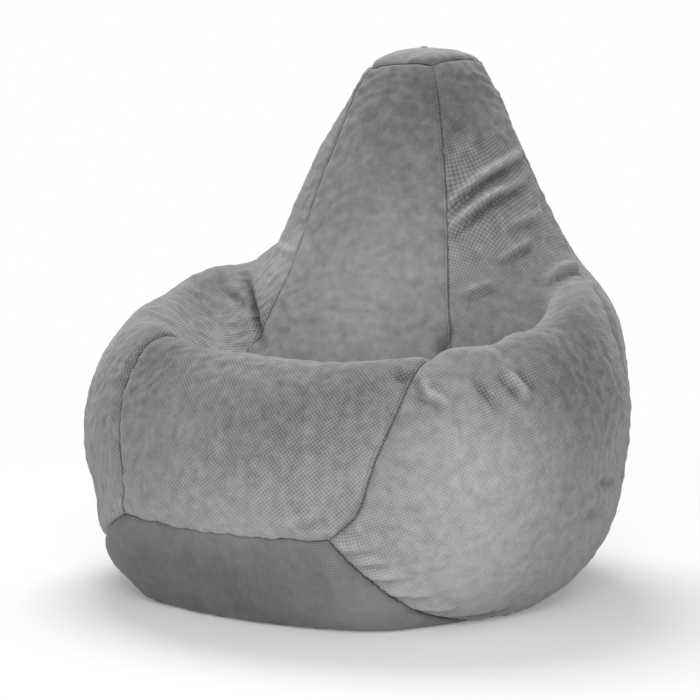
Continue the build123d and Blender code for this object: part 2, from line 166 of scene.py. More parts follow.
TAPE_CLOTH = ClothFinish(
    name="zip_tape",
    dark=(0.070, 0.070, 0.072, 1.0),
    light=(0.150, 0.150, 0.152, 1.0),
    roughness=0.85,
    sheen=0.0,
    pitch=0.0010,
    depth=0.40,
    cloud=0.010,
)
ZIP_METAL = HardFinish(
    name="zip_metal",
    colour=(0.10, 0.10, 0.105, 1.0),
    worn=(0.34, 0.34, 0.34, 1.0),
    roughness=0.38,
    metallic=1.0,
    grain=0.0012,
)
EYELET_METAL = HardFinish(
    name="eyelet_metal",
    colour=(0.035, 0.035, 0.037, 1.0),
    worn=(0.20, 0.20, 0.20, 1.0),
    roughness=0.42,
    metallic=1.0,
    grain=0.0012,
)
COIL_PLASTIC = HardFinish(
    name="zip_coil",
    colour=(0.075, 0.075, 0.078, 1.0),
    worn=(0.12, 0.12, 0.122, 1.0),
    roughness=0.45,
    metallic=0.0,
    grain=0.0008,
)


@dataclass(frozen=True)
class Fold:
    """One fold or crease of the cover.

    Attributes:
        points: Points on the cover that the fold follows, in metres.
        height: Height of the ridge, negative for a crease.
        width: Half width of the fold.
        fall: Depth of the hollow along the lower side of a ridge, as a share of its height.
    """

    points: tuple[Place, ...]
    height: float
    width: float
    fall: float = 0.0


BACK_FOLDS = (
    Fold(((0.122, 0.057, 0.614), (0.159, 0.102, 0.658), (0.180, 0.212, 0.695)), 0.016, 0.0075, 0.9),
    Fold(((0.132, 0.048, 0.578), (0.172, 0.097, 0.625), (0.198, 0.189, 0.654)), 0.016, 0.0080, 0.9),
    Fold(((0.202, 0.109, 0.580), (0.222, 0.199, 0.599)), 0.009, 0.007, 0.8),
    Fold(((0.208, 0.082, 0.531), (0.230, 0.149, 0.559)), 0.010, 0.007, 0.8),
    Fold(((0.173, 0.021, 0.478), (0.213, 0.062, 0.497)), 0.008, 0.007, 0.8),
    Fold(((0.267, 0.125, 0.498), (0.277, 0.215, 0.514)), 0.009, 0.008, 0.8),
    Fold(((0.104, 0.094, 0.724), (0.125, 0.125, 0.741)), -0.004, 0.008),
)
LEFT_FOLDS = (
    Fold(((-0.288, 0.105, 0.481), (-0.211, 0.010, 0.431), (-0.161, -0.043, 0.375)), -0.020, 0.0085),
    Fold(((-0.319, 0.076, 0.478), (-0.228, 0.017, 0.428)), -0.007, 0.008),
    Fold(((-0.222, 0.112, 0.542), (-0.209, 0.115, 0.568)), -0.005, 0.007),
    Fold(((-0.213, 0.091, 0.533), (-0.135, 0.029, 0.525)), 0.004, 0.008),
)
SEAT_FOLDS = (
    Fold(((0.160, -0.040, 0.380), (0.168, -0.011, 0.425)), -0.012, 0.010),
    Fold(((0.231, -0.280, 0.396), (0.239, -0.297, 0.376)), -0.010, 0.010),
    Fold(((0.125, -0.392, 0.169), (0.167, -0.388, 0.185)), -0.005, 0.007),
    Fold(((0.093, -0.398, 0.171), (0.131, -0.399, 0.193)), 0.004, 0.007),
)
RIGHT_FOLDS = (
    Fold(
        ((0.325, 0.206, 0.482), (0.305, 0.093, 0.467), (0.325, -0.139, 0.427), (0.322, -0.208, 0.412)),
        0.010,
        0.013,
        0.3,
    ),
    Fold(((0.266, -0.278, 0.383), (0.277, -0.286, 0.364), (0.306, -0.276, 0.351)), 0.009, 0.0065, 0.8),
    Fold(((0.324, -0.239, 0.383), (0.343, -0.236, 0.364), (0.362, -0.231, 0.341)), -0.010, 0.0065),
    Fold(((0.351, -0.202, 0.394), (0.377, -0.192, 0.369), (0.386, -0.190, 0.355)), 0.010, 0.0065, 0.8),
    Fold(((0.371, -0.182, 0.389), (0.394, -0.173, 0.361)), -0.008, 0.0065),
    Fold(((0.172, -0.371, 0.146), (0.236, -0.347, 0.147)), 0.0045, 0.008, 0.9),
    Fold(((0.189, -0.352, 0.124), (0.246, -0.332, 0.125)), 0.0045, 0.008, 0.9),
    Fold(((0.200, -0.329, 0.097), (0.253, -0.313, 0.098)), 0.0045, 0.008, 0.9),
    Fold(((0.215, -0.301, 0.068), (0.279, -0.274, 0.069)), 0.0045, 0.008, 0.9),
    Fold(((0.230, -0.270, 0.041), (0.291, -0.234, 0.040)), 0.0045, 0.008, 0.9),
    Fold(((0.252, -0.228, 0.017), (0.319, -0.141, 0.015), (0.339, -0.122, 0.025)), -0.007, 0.008),
    Fold(((0.443, -0.072, 0.211), (0.436, 0.031, 0.198)), -0.007, 0.010),
    Fold(((0.432, -0.078, 0.162), (0.433, -0.008, 0.159)), -0.005, 0.009),
)
BASE_FOLDS = (
    Fold(((-0.214, -0.361, 0.150), (-0.030, -0.369, 0.150), (0.161, -0.375, 0.150)), 0.009, 0.040),
    Fold(((-0.214, -0.361, 0.150), (-0.280, -0.250, 0.080), (-0.325, -0.120, 0.020)), 0.009, 0.040),
)
FOLDS = BACK_FOLDS + LEFT_FOLDS + SEAT_FOLDS + RIGHT_FOLDS + BASE_FOLDS


@dataclass(frozen=True)
class PaintedLightPatch:
    """Patch of painted light, or of painted shade where its shade is negative.

    Attributes:
        middle: Middle of the patch.
        radius: Radius at which the patch has faded.
        shade: Share of the way from the dark to the light pile that is painted on as light, negative for
            painted shade.
    """

    middle: Place
    radius: float
    shade: float


# Painted light and shade in patches: the cover is painted lighter where light falls full on it and darker
# where it lies in shade.
PAINTED_LIGHT_PATCHES = (
    PaintedLightPatch((0.340, -0.270, 0.230), 0.170, 0.32),
    PaintedLightPatch((0.330, -0.230, 0.080), 0.130, 0.30),
    PaintedLightPatch((0.030, -0.410, 0.200), 0.150, 0.16),
    PaintedLightPatch((0.050, -0.380, 0.310), 0.130, -0.20),
    PaintedLightPatch((-0.180, -0.270, 0.400), 0.150, -0.34),
    PaintedLightPatch((0.180, -0.320, 0.370), 0.110, -0.20),
    PaintedLightPatch((0.410, -0.050, 0.370), 0.200, -0.32),
    PaintedLightPatch((0.000, 0.000, 0.470), 0.170, 0.30),
    PaintedLightPatch((-0.170, 0.050, 0.520), 0.080, 0.40),
    PaintedLightPatch((0.080, 0.140, 0.790), 0.190, -0.30),
    PaintedLightPatch((0.000, 0.213, 0.865), 0.080, 0.35),
    PaintedLightPatch((0.200, -0.310, 0.040), 0.130, 0.45),
)


@dataclass(frozen=True)
class SeamForm:
    """How a seam draws the cloth in.

    Attributes:
        depth: Depth of the groove.
        width: Half width of the groove.
        pucker: Height of the puckers beside it.
        spread: Distance at which the puckers are highest.
    """

    depth: float
    width: float
    pucker: float
    spread: float


GORE_SEAM = SeamForm(0.0024, 0.0042, 0.0006, 0.012)
BASE_SEAM = SeamForm(0.0046, 0.0046, 0.0015, 0.016)
TOP_SEAM = SeamForm(0.0030, 0.0040, 0.0008, 0.008)


def activate(piece: Piece) -> None:
    """Selects only this piece and makes it active."""
    bpy.ops.object.select_all(action="DESELECT")
    piece.select_set(True)
    bpy.context.view_layer.objects.active = piece


@contextmanager
def editing(piece: Piece) -> Iterator[None]:
    """Keeps a piece in edit mode for the length of a with block.

    Args:
        piece: Piece to edit.

    Yields:
        Nothing.
    """
    activate(piece)
    bpy.ops.object.mode_set(mode="EDIT")
    yield
    bpy.ops.object.mode_set(mode="OBJECT")


def modify(piece: Piece, kind: str, **settings: object) -> None:
    """Adds a modifier to a piece and applies it.

    Args:
        piece: Piece to change.
        kind: Kind of modifier.
        settings: Settings of the modifier.
    """
    modifier = piece.modifiers.new(kind.lower(), kind)
    for name, value in settings.items():
        setattr(modifier, name, value)
    activate(piece)
    bpy.ops.object.modifier_apply(modifier=modifier.name)


def mark_points(piece: Piece, name: str, marked: np.ndarray) -> str:
    """Puts the marked vertices of a piece in a new vertex group.

    Args:
        piece: Piece that gets the group.
        name: Name of the group.
        marked: True for each vertex of the group.

    Returns:
        The name that the group got.
    """
    group = piece.vertex_groups.new(name=name)
    group.add(np.flatnonzero(marked).tolist(), 1.0, "REPLACE")
    return group.name


def copy_solid(node: str, name: str) -> Piece:
    """Copies the mesh of a solid into a new object with its doubles merged.

    Args:
        node: Name of the solid.
        name: Name of the new object.

    Returns:
        The new object.
    """
    piece = bpy.data.objects.new(name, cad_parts[node].data.copy())
    bpy.context.scene.collection.objects.link(piece)
    piece.data.materials.clear()
    with editing(piece):
        bpy.ops.mesh.select_all(action="SELECT")
        bpy.ops.mesh.remove_doubles(threshold=TINY_LENGTH)
    return piece


def read_points(mesh: bpy.types.Mesh) -> np.ndarray:
    """Reads the vertices of a mesh as rows of x, y, z."""
    points = np.empty(len(mesh.vertices) * 3)
    mesh.vertices.foreach_get("co", points)
    return points.reshape(-1, 3)


def write_points(mesh: bpy.types.Mesh, points: np.ndarray) -> None:
    """Writes rows of x, y, z to the vertices of a mesh."""
    mesh.vertices.foreach_set("co", points.ravel())
    mesh.update()


def read_normals(mesh: bpy.types.Mesh) -> np.ndarray:
    """Reads the vertex normals of a mesh as rows of x, y, z."""
    normals = np.empty(len(mesh.vertices) * 3, np.float32)
    mesh.vertex_normals.foreach_get("vector", normals)
    return normals.reshape(-1, 3).astype(float)


def mesh_tree(*meshes: bpy.types.Mesh) -> BVHTree:
    """Builds a search tree over the surfaces of some meshes.

    Args:
        meshes: The meshes.

    Returns:
        The tree.
    """
    places: list[Vector] = []
    faces: list[list[int]] = []
    for mesh in meshes:
        start = len(places)
        places += [vertex.co for vertex in mesh.vertices]
        faces += [[start + index for index in face.vertices] for face in mesh.polygons]
    return BVHTree.FromPolygons(places, faces)


def surface_tree(*nodes: str) -> BVHTree:
    """Builds a search tree over the surfaces of some solids, named by their nodes."""
    return mesh_tree(*[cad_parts[node].data for node in nodes])


class Nodes:
    """Adds and links the nodes of one shader tree.

    Attributes:
        tree: The shader tree.
    """

    def __init__(self, tree: bpy.types.NodeTree) -> None:
        """Keeps the tree that the nodes go into."""
        self.tree = tree

    def feed(self, node: bpy.types.Node, inputs: Inputs) -> None:
        """Fills inputs of a node.

        Args:
            node: Node to fill.
            inputs: A socket to link or a plain value for each input.
        """
        for name, value in inputs.items():
            if isinstance(value, Socket):
                self.tree.links.new(value, node.inputs[name])
            else:
                node.inputs[name].default_value = value

    def add(self, kind: str, inputs: Inputs | None = None, **settings: object) -> bpy.types.Node:
        """Adds a node.

        Args:
            kind: Kind of shader node.
            inputs: A socket to link or a plain value for each input that is filled.
            settings: Settings of the node.

        Returns:
            The node.
        """
        node = self.tree.nodes.new(f"ShaderNode{kind}")
        for name, value in settings.items():
            setattr(node, name, value)
        self.feed(node, inputs or {})
        return node

    def math(self, operation: str, *values: object) -> Socket:
        """Gives the result of an operation on sockets or numbers."""
        return self.add("Math", dict(enumerate(values)), operation=operation).outputs[0]

    def ramp(self, value: Socket, low: float, high: float) -> Socket:
        """Maps a value smoothly to 0 at low and 1 at high."""
        inputs = {"Value": value, "From Min": low, "From Max": high}
        return self.add("MapRange", inputs, interpolation_type="SMOOTHSTEP").outputs["Result"]

    def span(self, share: Socket, low: float, high: float = 1.0) -> Socket:
        """Maps a share from 0 to 1 to a value from low to high."""
        return self.add("MapRange", {"Value": share, "To Min": low, "To Max": high}).outputs["Result"]

    def mix(self, share: Socket, first: Colour, second: Colour) -> Socket:
        """Mixes two colours by the share of the second."""
        return self.add("Mix", {"Factor": share, "A": first, "B": second}, data_type="RGBA").outputs["Result"]

    def attribute(self, name: str) -> Socket:
        """Reads a value that is kept in the mesh."""
        return self.add("Attribute", attribute_name=name).outputs["Fac"]


def new_material(name: str) -> tuple[bpy.types.Material, Nodes, bpy.types.Node]:
    """Makes a node material.

    Args:
        name: Name of the material.

    Returns:
        The material, its nodes and its surface shader.
    """
    material = bpy.data.materials.new(name)
    material.use_nodes = True
    return material, Nodes(material.node_tree), material.node_tree.nodes["Principled BSDF"]


class WeaveGroup:
    """Shader node group of a brushed dotted weave, shared by every cloth.

    Attributes:
        tree: The node group.
    """

    INPUTS = {
        "Thread": "NodeSocketVector",
        "Place": "NodeSocketVector",
        "Pitch": "NodeSocketFloat",
        "Cloud": "NodeSocketFloat",
    }
    OUTPUTS = ("Brushed", "Height")
    MIDDLE = 0.5
    DOT_HEIGHT = 0.16
    NOISE_ROUGHNESS = 0.62
    PATCH_DETAIL = 5.0
    GRAIN_DETAIL = 2.0
    GRAIN_PER_PITCH = 0.35
    GRAIN_SHARE = 0.45
    CONTRAST = 0.85
    LEVEL = 0.12

    def __init__(self) -> None:
        """Builds the group once."""
        self.tree = bpy.data.node_groups.new("brushed_weave", "ShaderNodeTree")
        for name, kind in self.INPUTS.items():
            self.tree.interface.new_socket(name, in_out="INPUT", socket_type=kind)
        for name in self.OUTPUTS:
            self.tree.interface.new_socket(name, in_out="OUTPUT", socket_type="NodeSocketFloat")
        self._lay_weave(Nodes(self.tree))

    def _noise(self, nodes: Nodes, place: Socket, scale: Socket, detail: float) -> Socket:
        """Gives a noise with a number of features per metre and a number of octaves."""
        inputs = {"Vector": place, "Scale": scale, "Detail": detail, "Roughness": self.NOISE_ROUGHNESS}
        return nodes.add("TexNoise", inputs).outputs["Fac"]

    def _lay_weave(self, nodes: Nodes) -> None:
        """Lays a lattice of dots under two scales of brushed pile.

        Args:
            nodes: Nodes of the group.
        """
        entry = self.tree.nodes.new("NodeGroupInput")
        leave = self.tree.nodes.new("NodeGroupOutput")
        thread, place, pitch, cloud = (entry.outputs[name] for name in self.INPUTS)
        along, across, upward = nodes.add("SeparateXYZ", {0: thread}).outputs
        turns = nodes.math("DIVIDE", 2.0 * math.pi, pitch)
        bias = (nodes.math("ADD", along, across), nodes.math("SUBTRACT", along, across), upward)
        waves = [nodes.math("SINE", nodes.math("MULTIPLY", axis, turns)) for axis in bias]
        dots = nodes.math("ADD", nodes.math("ADD", waves[0], waves[1]), waves[2])
        height = nodes.math("MULTIPLY_ADD", dots, self.DOT_HEIGHT, self.MIDDLE)
        patches = self._noise(nodes, place, nodes.math("DIVIDE", 1.0, cloud), self.PATCH_DETAIL)
        fineness = nodes.math("DIVIDE", self.GRAIN_PER_PITCH, pitch)
        grain = nodes.math("SUBTRACT", self._noise(nodes, place, fineness, self.GRAIN_DETAIL), self.MIDDLE)
        mottle = nodes.math("MULTIPLY_ADD", grain, self.GRAIN_SHARE, patches)
        uneven = nodes.math("SUBTRACT", mottle, self.MIDDLE)
        brushed = nodes.math("MULTIPLY_ADD", uneven, self.CONTRAST, self.LEVEL)
        nodes.feed(leave, {"Brushed": brushed, "Height": height})


class Wardrobe:
    """Makes each material once and hands it out.

    Attributes:
        weave: Node group of the weave.
        made: Finished materials by name.
    """

    PILE_SHARE = 0.80
    DOT_SHARE = 0.70
    RELIEF_PER_PITCH = 0.35
    CLOTH_GLOSS = 0.25
    SHEEN_ROUGHNESS = 0.45
    # Painted shade in the seams' grooves: how far it reaches from the seam and how dark it gets.
    GROOVE_SHADE_RAMP = (0.0006, 0.0026)
    SEAM_SHADE = 0.45
    STITCH_OFFSET = 0.006
    STITCH_EDGE = (0.00045, 0.00144)
    STITCH_SHADE = 0.78
    RUB_PER_GRAIN = 0.5
    RUB_DETAIL = 4.0
    RUB_EDGE = (0.60, 0.78)
    RUB_ROUGHER = 0.2

    def __init__(self) -> None:
        """Builds the shared weave group."""
        self.weave = WeaveGroup()
        self.made: dict[str, bpy.types.Material] = {}

    def cloth(self, finish: ClothFinish, seams: bool = False) -> bpy.types.Material:
        """Gives the material of a cloth.

        Args:
            finish: Finish of the cloth.
            seams: Whether the piece carries the seam attributes and the painted light and shade.

        Returns:
            The material.
        """
        if finish.name not in self.made:
            self.made[finish.name] = self._make_cloth(finish, seams)
        return self.made[finish.name]

    def _make_cloth(self, finish: ClothFinish, seams: bool) -> bpy.types.Material:
        """Builds the material of a cloth.

        Args:
            finish: Finish of the cloth.
            seams: Whether the piece carries the seam attributes and the painted light and shade.

        Returns:
            The material.
        """
        material, nodes, shader = new_material(finish.name)
        place = nodes.add("TexCoord").outputs
        threads = {
            "Thread": place["UV" if seams else "Object"],
            "Place": place["Object"],
            "Pitch": finish.pitch,
            "Cloud": finish.cloud,
        }
        weave = nodes.add("Group", threads, node_tree=self.weave.tree).outputs
        dots = nodes.math("MULTIPLY", weave["Height"], self.DOT_SHARE)
        share = nodes.math("MULTIPLY_ADD", weave["Brushed"], self.PILE_SHARE, dots)
        # The painted light and shade of the patches and the folds is added to the cloth's tone.
        if seams:
            share = nodes.math("ADD", share, nodes.attribute("nap"))
        base = nodes.mix(share, finish.dark, finish.light)
        if seams:
            base = self._paint_seam_shade(nodes, base)
        relief = {
            "Strength": finish.depth,
            "Distance": finish.pitch * self.RELIEF_PER_PITCH,
            "Height": weave["Height"],
        }
        surface = {
            "Base Color": base,
            "Normal": nodes.add("Bump", relief).outputs["Normal"],
            "Roughness": finish.roughness,
            "Specular IOR Level": self.CLOTH_GLOSS,
            "Sheen Weight": finish.sheen,
            "Sheen Roughness": self.SHEEN_ROUGHNESS,
        }
        nodes.feed(shader, surface)
        return material

    def _paint_seam_shade(self, nodes: Nodes, base: Socket) -> Socket:
        """Paints shade into the groove of the seams and draws the stitch row beside them.

        Args:
            nodes: Nodes of the material.
            base: Colour of the cloth.

        Returns:
            The colour with painted shade in the seams' grooves and the stitch row.
        """
        # Painted shade: the cloth is darkened along the seams' grooves, where shade falls.
        groove = nodes.span(nodes.ramp(nodes.attribute("seam"), *self.GROOVE_SHADE_RAMP), self.SEAM_SHADE)
        away = nodes.math("SUBTRACT", nodes.attribute("stitch"), self.STITCH_OFFSET)
        thread = nodes.ramp(nodes.math("ABSOLUTE", away), *self.STITCH_EDGE)
        shade = nodes.math("MULTIPLY", groove, nodes.span(thread, self.STITCH_SHADE))
        return nodes.add("VectorMath", {0: base, "Scale": shade}, operation="SCALE").outputs["Vector"]

    def hard(self, finish: HardFinish) -> bpy.types.Material:
        """Gives the material of a lacquered or moulded piece.

        Args:
            finish: Finish of the piece.

        Returns:
            The material.
        """
        if finish.name not in self.made:
            self.made[finish.name] = self._make_hard(finish)
        return self.made[finish.name]

    def _make_hard(self, finish: HardFinish) -> bpy.types.Material:
        """Builds the material of a lacquered or moulded piece.

        Args:
            finish: Finish of the piece.

        Returns:
            The material.
        """
        material, nodes, shader = new_material(finish.name)
        grain = {
            "Vector": nodes.add("TexCoord").outputs["Object"],
            "Scale": self.RUB_PER_GRAIN / finish.grain,
            "Detail": self.RUB_DETAIL,
        }
        rub = nodes.add("TexNoise", grain).outputs["Fac"]
        surface = {
            "Base Color": nodes.mix(nodes.ramp(rub, *self.RUB_EDGE), finish.colour, finish.worn),
            "Roughness": nodes.span(rub, finish.roughness, finish.roughness + self.RUB_ROUGHER),
            "Metallic": finish.metallic,
        }
        nodes.feed(shader, surface)
        return material


@dataclass(frozen=True)
class Strip:
    """Strip of the cover along the zip, in metres.

    Attributes:
        reach: Half width of the strip.
        spare: Length past each end of the opening.
    """

    reach: float
    spare: float = 0.0


# Strips that lie on the arc, are cut, stay still in the swell, lose their folds and are not pushed inside
FLAT_STRIP = Strip(0.012, 0.010)
CUT_STRIP = Strip(0.020, 0.012)
STILL_STRIP = Strip(0.030, 0.020)
CALM_STRIP = Strip(0.035, 0.020)
CLEAR_STRIP = Strip(0.050, 0.030)


@dataclass(frozen=True)
class ZipLine:
    """Arc of the zip in the centre back seam, in metres, and where its chain starts and ends.

    Attributes:
        centre_y: Y of the arc's centre.
        centre_z: Z of the arc's centre.
        radius: Radius of the arc on the outside of the cover.
        start: Angle of the lower end of the chain, in radians from +Y.
        length: Length of the chain.
        slot: Half width of the opening in the seam.
        margin: Length of the opening past each end of the chain.
        step: Short step along the zip that gives its direction.
        trim: Distance inside the opening's edges where cloth is cut away.
        back_from: Y past which a point can lie beside the zip.
    """

    centre_y: float = -0.51898
    centre_z: float = 0.265
    radius: float = 0.930
    start: float = math.radians(-4.3167)
    length: float = 0.400
    slot: float = 0.0060
    margin: float = 0.006
    step: float = 0.001
    trim: float = 1e-4
    back_from: float = 0.2

    def point(self, travel: float) -> Vector:
        """Point on the zip.

        Args:
            travel: Distance along the zip from the lower end of its chain.

        Returns:
            The point.
        """
        swing = self.start + travel / self.radius
        out = self.radius * math.cos(swing)
        up = self.radius * math.sin(swing)
        return Vector((0.0, self.centre_y + out, self.centre_z + up))

    def travel(self, points: np.ndarray) -> np.ndarray:
        """Distance along the zip of each point, measured from the lower end of its chain."""
        swing = np.arctan2(points[:, 2] - self.centre_z, points[:, 1] - self.centre_y)
        return (swing - self.start) * self.radius

    def beside(self, points: np.ndarray, strip: Strip) -> np.ndarray:
        """Marks the points that lie beside the zip.

        Args:
            points: Rows of x, y, z.
            strip: Strip along the zip.

        Returns:
            True for each point in the strip.
        """
        travel = self.travel(points)
        ahead = self.margin + strip.spare
        along = (travel > -ahead) & (travel < self.length + ahead)
        return along & (np.abs(points[:, 0]) < strip.reach) & (points[:, 1] > self.back_from)


@dataclass(frozen=True)
class Vent:
    """Small hole in the top panel, in metres.

    Attributes:
        middle_y: Y of its middle.
        top: Height of the top panel there.
        above: Height above which a point can lie round it.
        hole: Radius of the hole in the cloth.
        level: Radius that is made level.
        still: Radius that the swell leaves alone and where the inner bag lies deeper.
        calm_from: Radius within which there are no folds.
        calm_to: Radius from which the folds are whole.
    """

    middle_y: float = 0.21297
    top: float = 0.865
    above: float = 0.8
    hole: float = 0.0045
    level: float = 0.016
    still: float = 0.03
    calm_from: float = 0.010
    calm_to: float = 0.040

    def away(self, points: np.ndarray) -> np.ndarray:
        """Distance of each point from the middle, in plan."""
        return np.hypot(points[:, 0], points[:, 1] - self.middle_y)

    def round(self, points: np.ndarray, radius: float) -> np.ndarray:
        """Marks the points of the top within a radius."""
        return (self.away(points) < radius) & (points[:, 2] > self.above)


ZIP = ZipLine()
VENT = Vent()
CLOTH_SETTINGS = {
    "quality": 5,
    "mass": 0.35,
    "tension_stiffness": 12.0,
    "compression_stiffness": 12.0,
    "shear_stiffness": 6.0,
    "bending_stiffness": 0.6,
    "use_pressure": True,
}


@dataclass
class BagCover:
    """The sewn cover: one closed skin is swollen, folded and then cut into its seven panels.

    Attributes:
        voxel: Size of the skin's first quads.
        reach: Largest distance between the filling and the outside of the cover.
        pressure: Pressure inside the cloth.
        frames: Steps of the cloth simulation.
        cap: Largest distance that the simulation may move a point.
        hold: How firmly the cloth keeps to the settled shape, from 0 to 1.
        slack: Spare cloth between the seams, as a share of its length.
        gather: Shortening of the seams, as a share of their length.
        thickness: Thickness of the cloth.
        wrap_smooth: Strength of the smoothing after the skin is wrapped.
        wrap_rounds: Rounds of that smoothing.
        relax: Strength of the smoothing between the seams.
        relax_rounds: Rounds of that smoothing.
        floor_hold: Height below which the swell leaves the base alone.
        floor_calm: Height above the floor from which the folds are whole.
        seam_reach: Distance within which a seam is felt.
        seat_height: Height below which the seams pucker more.
        low_pucker: How much more the seams pucker below that height.
        pucker_pitch: Puckers per metre of seam.
        pucker_swing: Depth of the hollows between puckers, against their height.
        wave: Height of the broad soft waves.
        wave_pitch: Broad waves per metre.
        crease: Height of the small waves.
        crease_pitch: Small waves per metre.
        fold_step: Spacing of the points along a fold.
        fold_reach: Distance past its ends where a fold is no longer felt, in widths of the fold.
        fold_ends: Shares of a half turn where a fold's height starts and ends.
        hollow_offset: Distance of a fold's hollow from its ridge, in widths of the fold.
        patch_fade: How fast the patches of painted light and shade fade.
        fold_painted_light: Painted highlight on the ridges and painted shade in the hollows and creases, per
            metre of the folds' height.
        ease: Strength of the smoothing along the seam of the base.
        ease_reach: Distance from the seam of the base that is smoothed.
        ease_rounds: Rounds of that smoothing.
        outside: Search tree over the outside of the cover's solids.
        own: Number of each vertex's panel.
        other: Number of the panel beyond the nearest seam of each vertex.
        seam: Distance of each vertex from that seam.
        anchor: Nearest point of that seam.
        skin: The closed skin.
        pieces: The finished panels.
    """

    voxel: float = 0.0075
    reach: float = 0.060
    pressure: float = 4.0
    frames: int = 18
    cap: float = 0.012
    hold: float = 0.22
    slack: float = 0.035
    gather: float = 0.035
    thickness: float = 0.0018
    wrap_smooth: float = 0.4
    wrap_rounds: int = 2
    relax: float = 0.5
    relax_rounds: int = 3
    floor_hold: float = 0.003
    floor_calm: float = 0.010
    seam_reach: float = 0.050
    seat_height: float = 0.42
    low_pucker: float = 1.5
    pucker_pitch: float = 55.0
    pucker_swing: float = 3.0
    wave: float = 0.0040
    wave_pitch: float = 9.0
    crease: float = 0.0012
    crease_pitch: float = 27.0
    fold_step: float = 0.008
    fold_reach: float = 4.0
    fold_ends: tuple[float, float] = (0.08, 0.92)
    hollow_offset: float = 1.7
    patch_fade: float = 2.0
    fold_painted_light: float = 34.0
    ease: float = 0.5
    ease_reach: float = 0.012
    ease_rounds: int = 6
    outside: BVHTree | None = field(default=None, init=False)
    own: np.ndarray | None = field(default=None, init=False)
    other: np.ndarray | None = field(default=None, init=False)
    seam: np.ndarray | None = field(default=None, init=False)
    anchor: np.ndarray | None = field(default=None, init=False)
    skin: Piece | None = field(default=None, init=False)
    pieces: dict[Panel, Piece] = field(default_factory=dict)

    def build(self) -> None:
        """Makes the closed skin with its seams, swell and folds."""
        self._wrap()
        self._label()
        self._straighten_seams()
        self._remember()
        self._swell()
        self._refine()
        self._measure_seams()
        self._sculpt()

    def _wrap(self) -> None:
        """Grows the filling's shape outwards to the outside of the cover."""
        self.skin = copy_solid("bead_fill", "cover_skin")
        modify(self.skin, "REMESH", mode="VOXEL", voxel_size=self.voxel)
        self.outside = surface_tree(*[panel.value for panel in PANELS])
        points, normals = read_points(self.skin.data), read_normals(self.skin.data)
        for index, (point, normal) in enumerate(zip(points, normals)):
            hit = self.outside.ray_cast(Vector(point), Vector(normal), self.reach)[0]
            if hit is None:
                hit = self.outside.find_nearest(Vector(point))[0]
            points[index] = hit + Vector(normal) * self.thickness
        points[VENT.round(points, VENT.level), 2] = VENT.top
        beside = ZIP.beside(points, FLAT_STRIP)
        arm = points[beside][:, 1:] - (ZIP.centre_y, ZIP.centre_z)
        arm *= ZIP.radius / np.linalg.norm(arm, axis=1, keepdims=True)
        points[beside, 1:] = arm + (ZIP.centre_y, ZIP.centre_z)
        write_points(self.skin.data, points)
        modify(self.skin, "SMOOTH", factor=self.wrap_smooth, iterations=self.wrap_rounds)

    def _label(self) -> None:
        """Gives each face of the skin a temporary material for the panel that it lies on."""
        trees = [surface_tree(panel.value) for panel in PANELS]
        mesh = self.skin.data
        for panel in PANELS:
            mesh.materials.append(bpy.data.materials.new(f"cut_{panel.value}"))
        for face in mesh.polygons:
            gaps = [tree.find_nearest(face.center)[3] for tree in trees]
            face.material_index = gaps.index(min(gaps))

    def _panels_round(self, kind: str, count: int) -> tuple[np.ndarray, np.ndarray]:
        """Lowest and highest panel number among the faces round each vertex or edge.

        Args:
            kind: Corner value to go by, the index of the vertex or of the edge.
            count: Number of vertices or edges.

        Returns:
            The lowest and the highest number of each.
        """
        mesh = self.skin.data
        corners = np.empty(len(mesh.loops), np.int32)
        mesh.loops.foreach_get(kind, corners)
        totals = np.empty(len(mesh.polygons), np.int32)
        mesh.polygons.foreach_get("loop_total", totals)
        labels = np.empty(len(mesh.polygons), np.int32)
        mesh.polygons.foreach_get("material_index", labels)
        each = np.repeat(labels, totals)
        lowest = np.full(count, len(PANELS))
        highest = np.full(count, -1)
        np.minimum.at(lowest, corners, each)
        np.maximum.at(highest, corners, each)
        return lowest, highest

    def _straighten_seams(self) -> None:
        """Slides the vertices between two panels sideways onto the seam."""
        trees = [surface_tree(panel.value) for panel in PANELS]
        lowest, highest = self._panels_round("vertex_index", len(self.skin.data.vertices))
        points, normals = read_points(self.skin.data), read_normals(self.skin.data)
        for index in np.flatnonzero(lowest != highest):
            place = Vector(points[index])
            hits = [trees[label].find_nearest(place) for label in (lowest[index], highest[index])]
            shares = [hit[3] + TINY_LENGTH for hit in hits]
            target = (hits[0][0] * shares[0] + hits[1][0] * shares[1]) / sum(shares)
            step = target - place
            normal = Vector(normals[index])
            points[index] = place + step - normal * step.dot(normal)
        write_points(self.skin.data, points)
        free = mark_points(self.skin, "free", lowest == highest)
        modify(self.skin, "SMOOTH", factor=self.relax, iterations=self.relax_rounds, vertex_group=free)

    def _remember(self) -> None:
        """Keeps the place of each vertex in the settled bag, for the folds."""
        mesh = self.skin.data
        kept = mesh.attributes.new("rest", "FLOAT_VECTOR", "POINT")
        kept.data.foreach_set("vector", read_points(mesh).ravel())

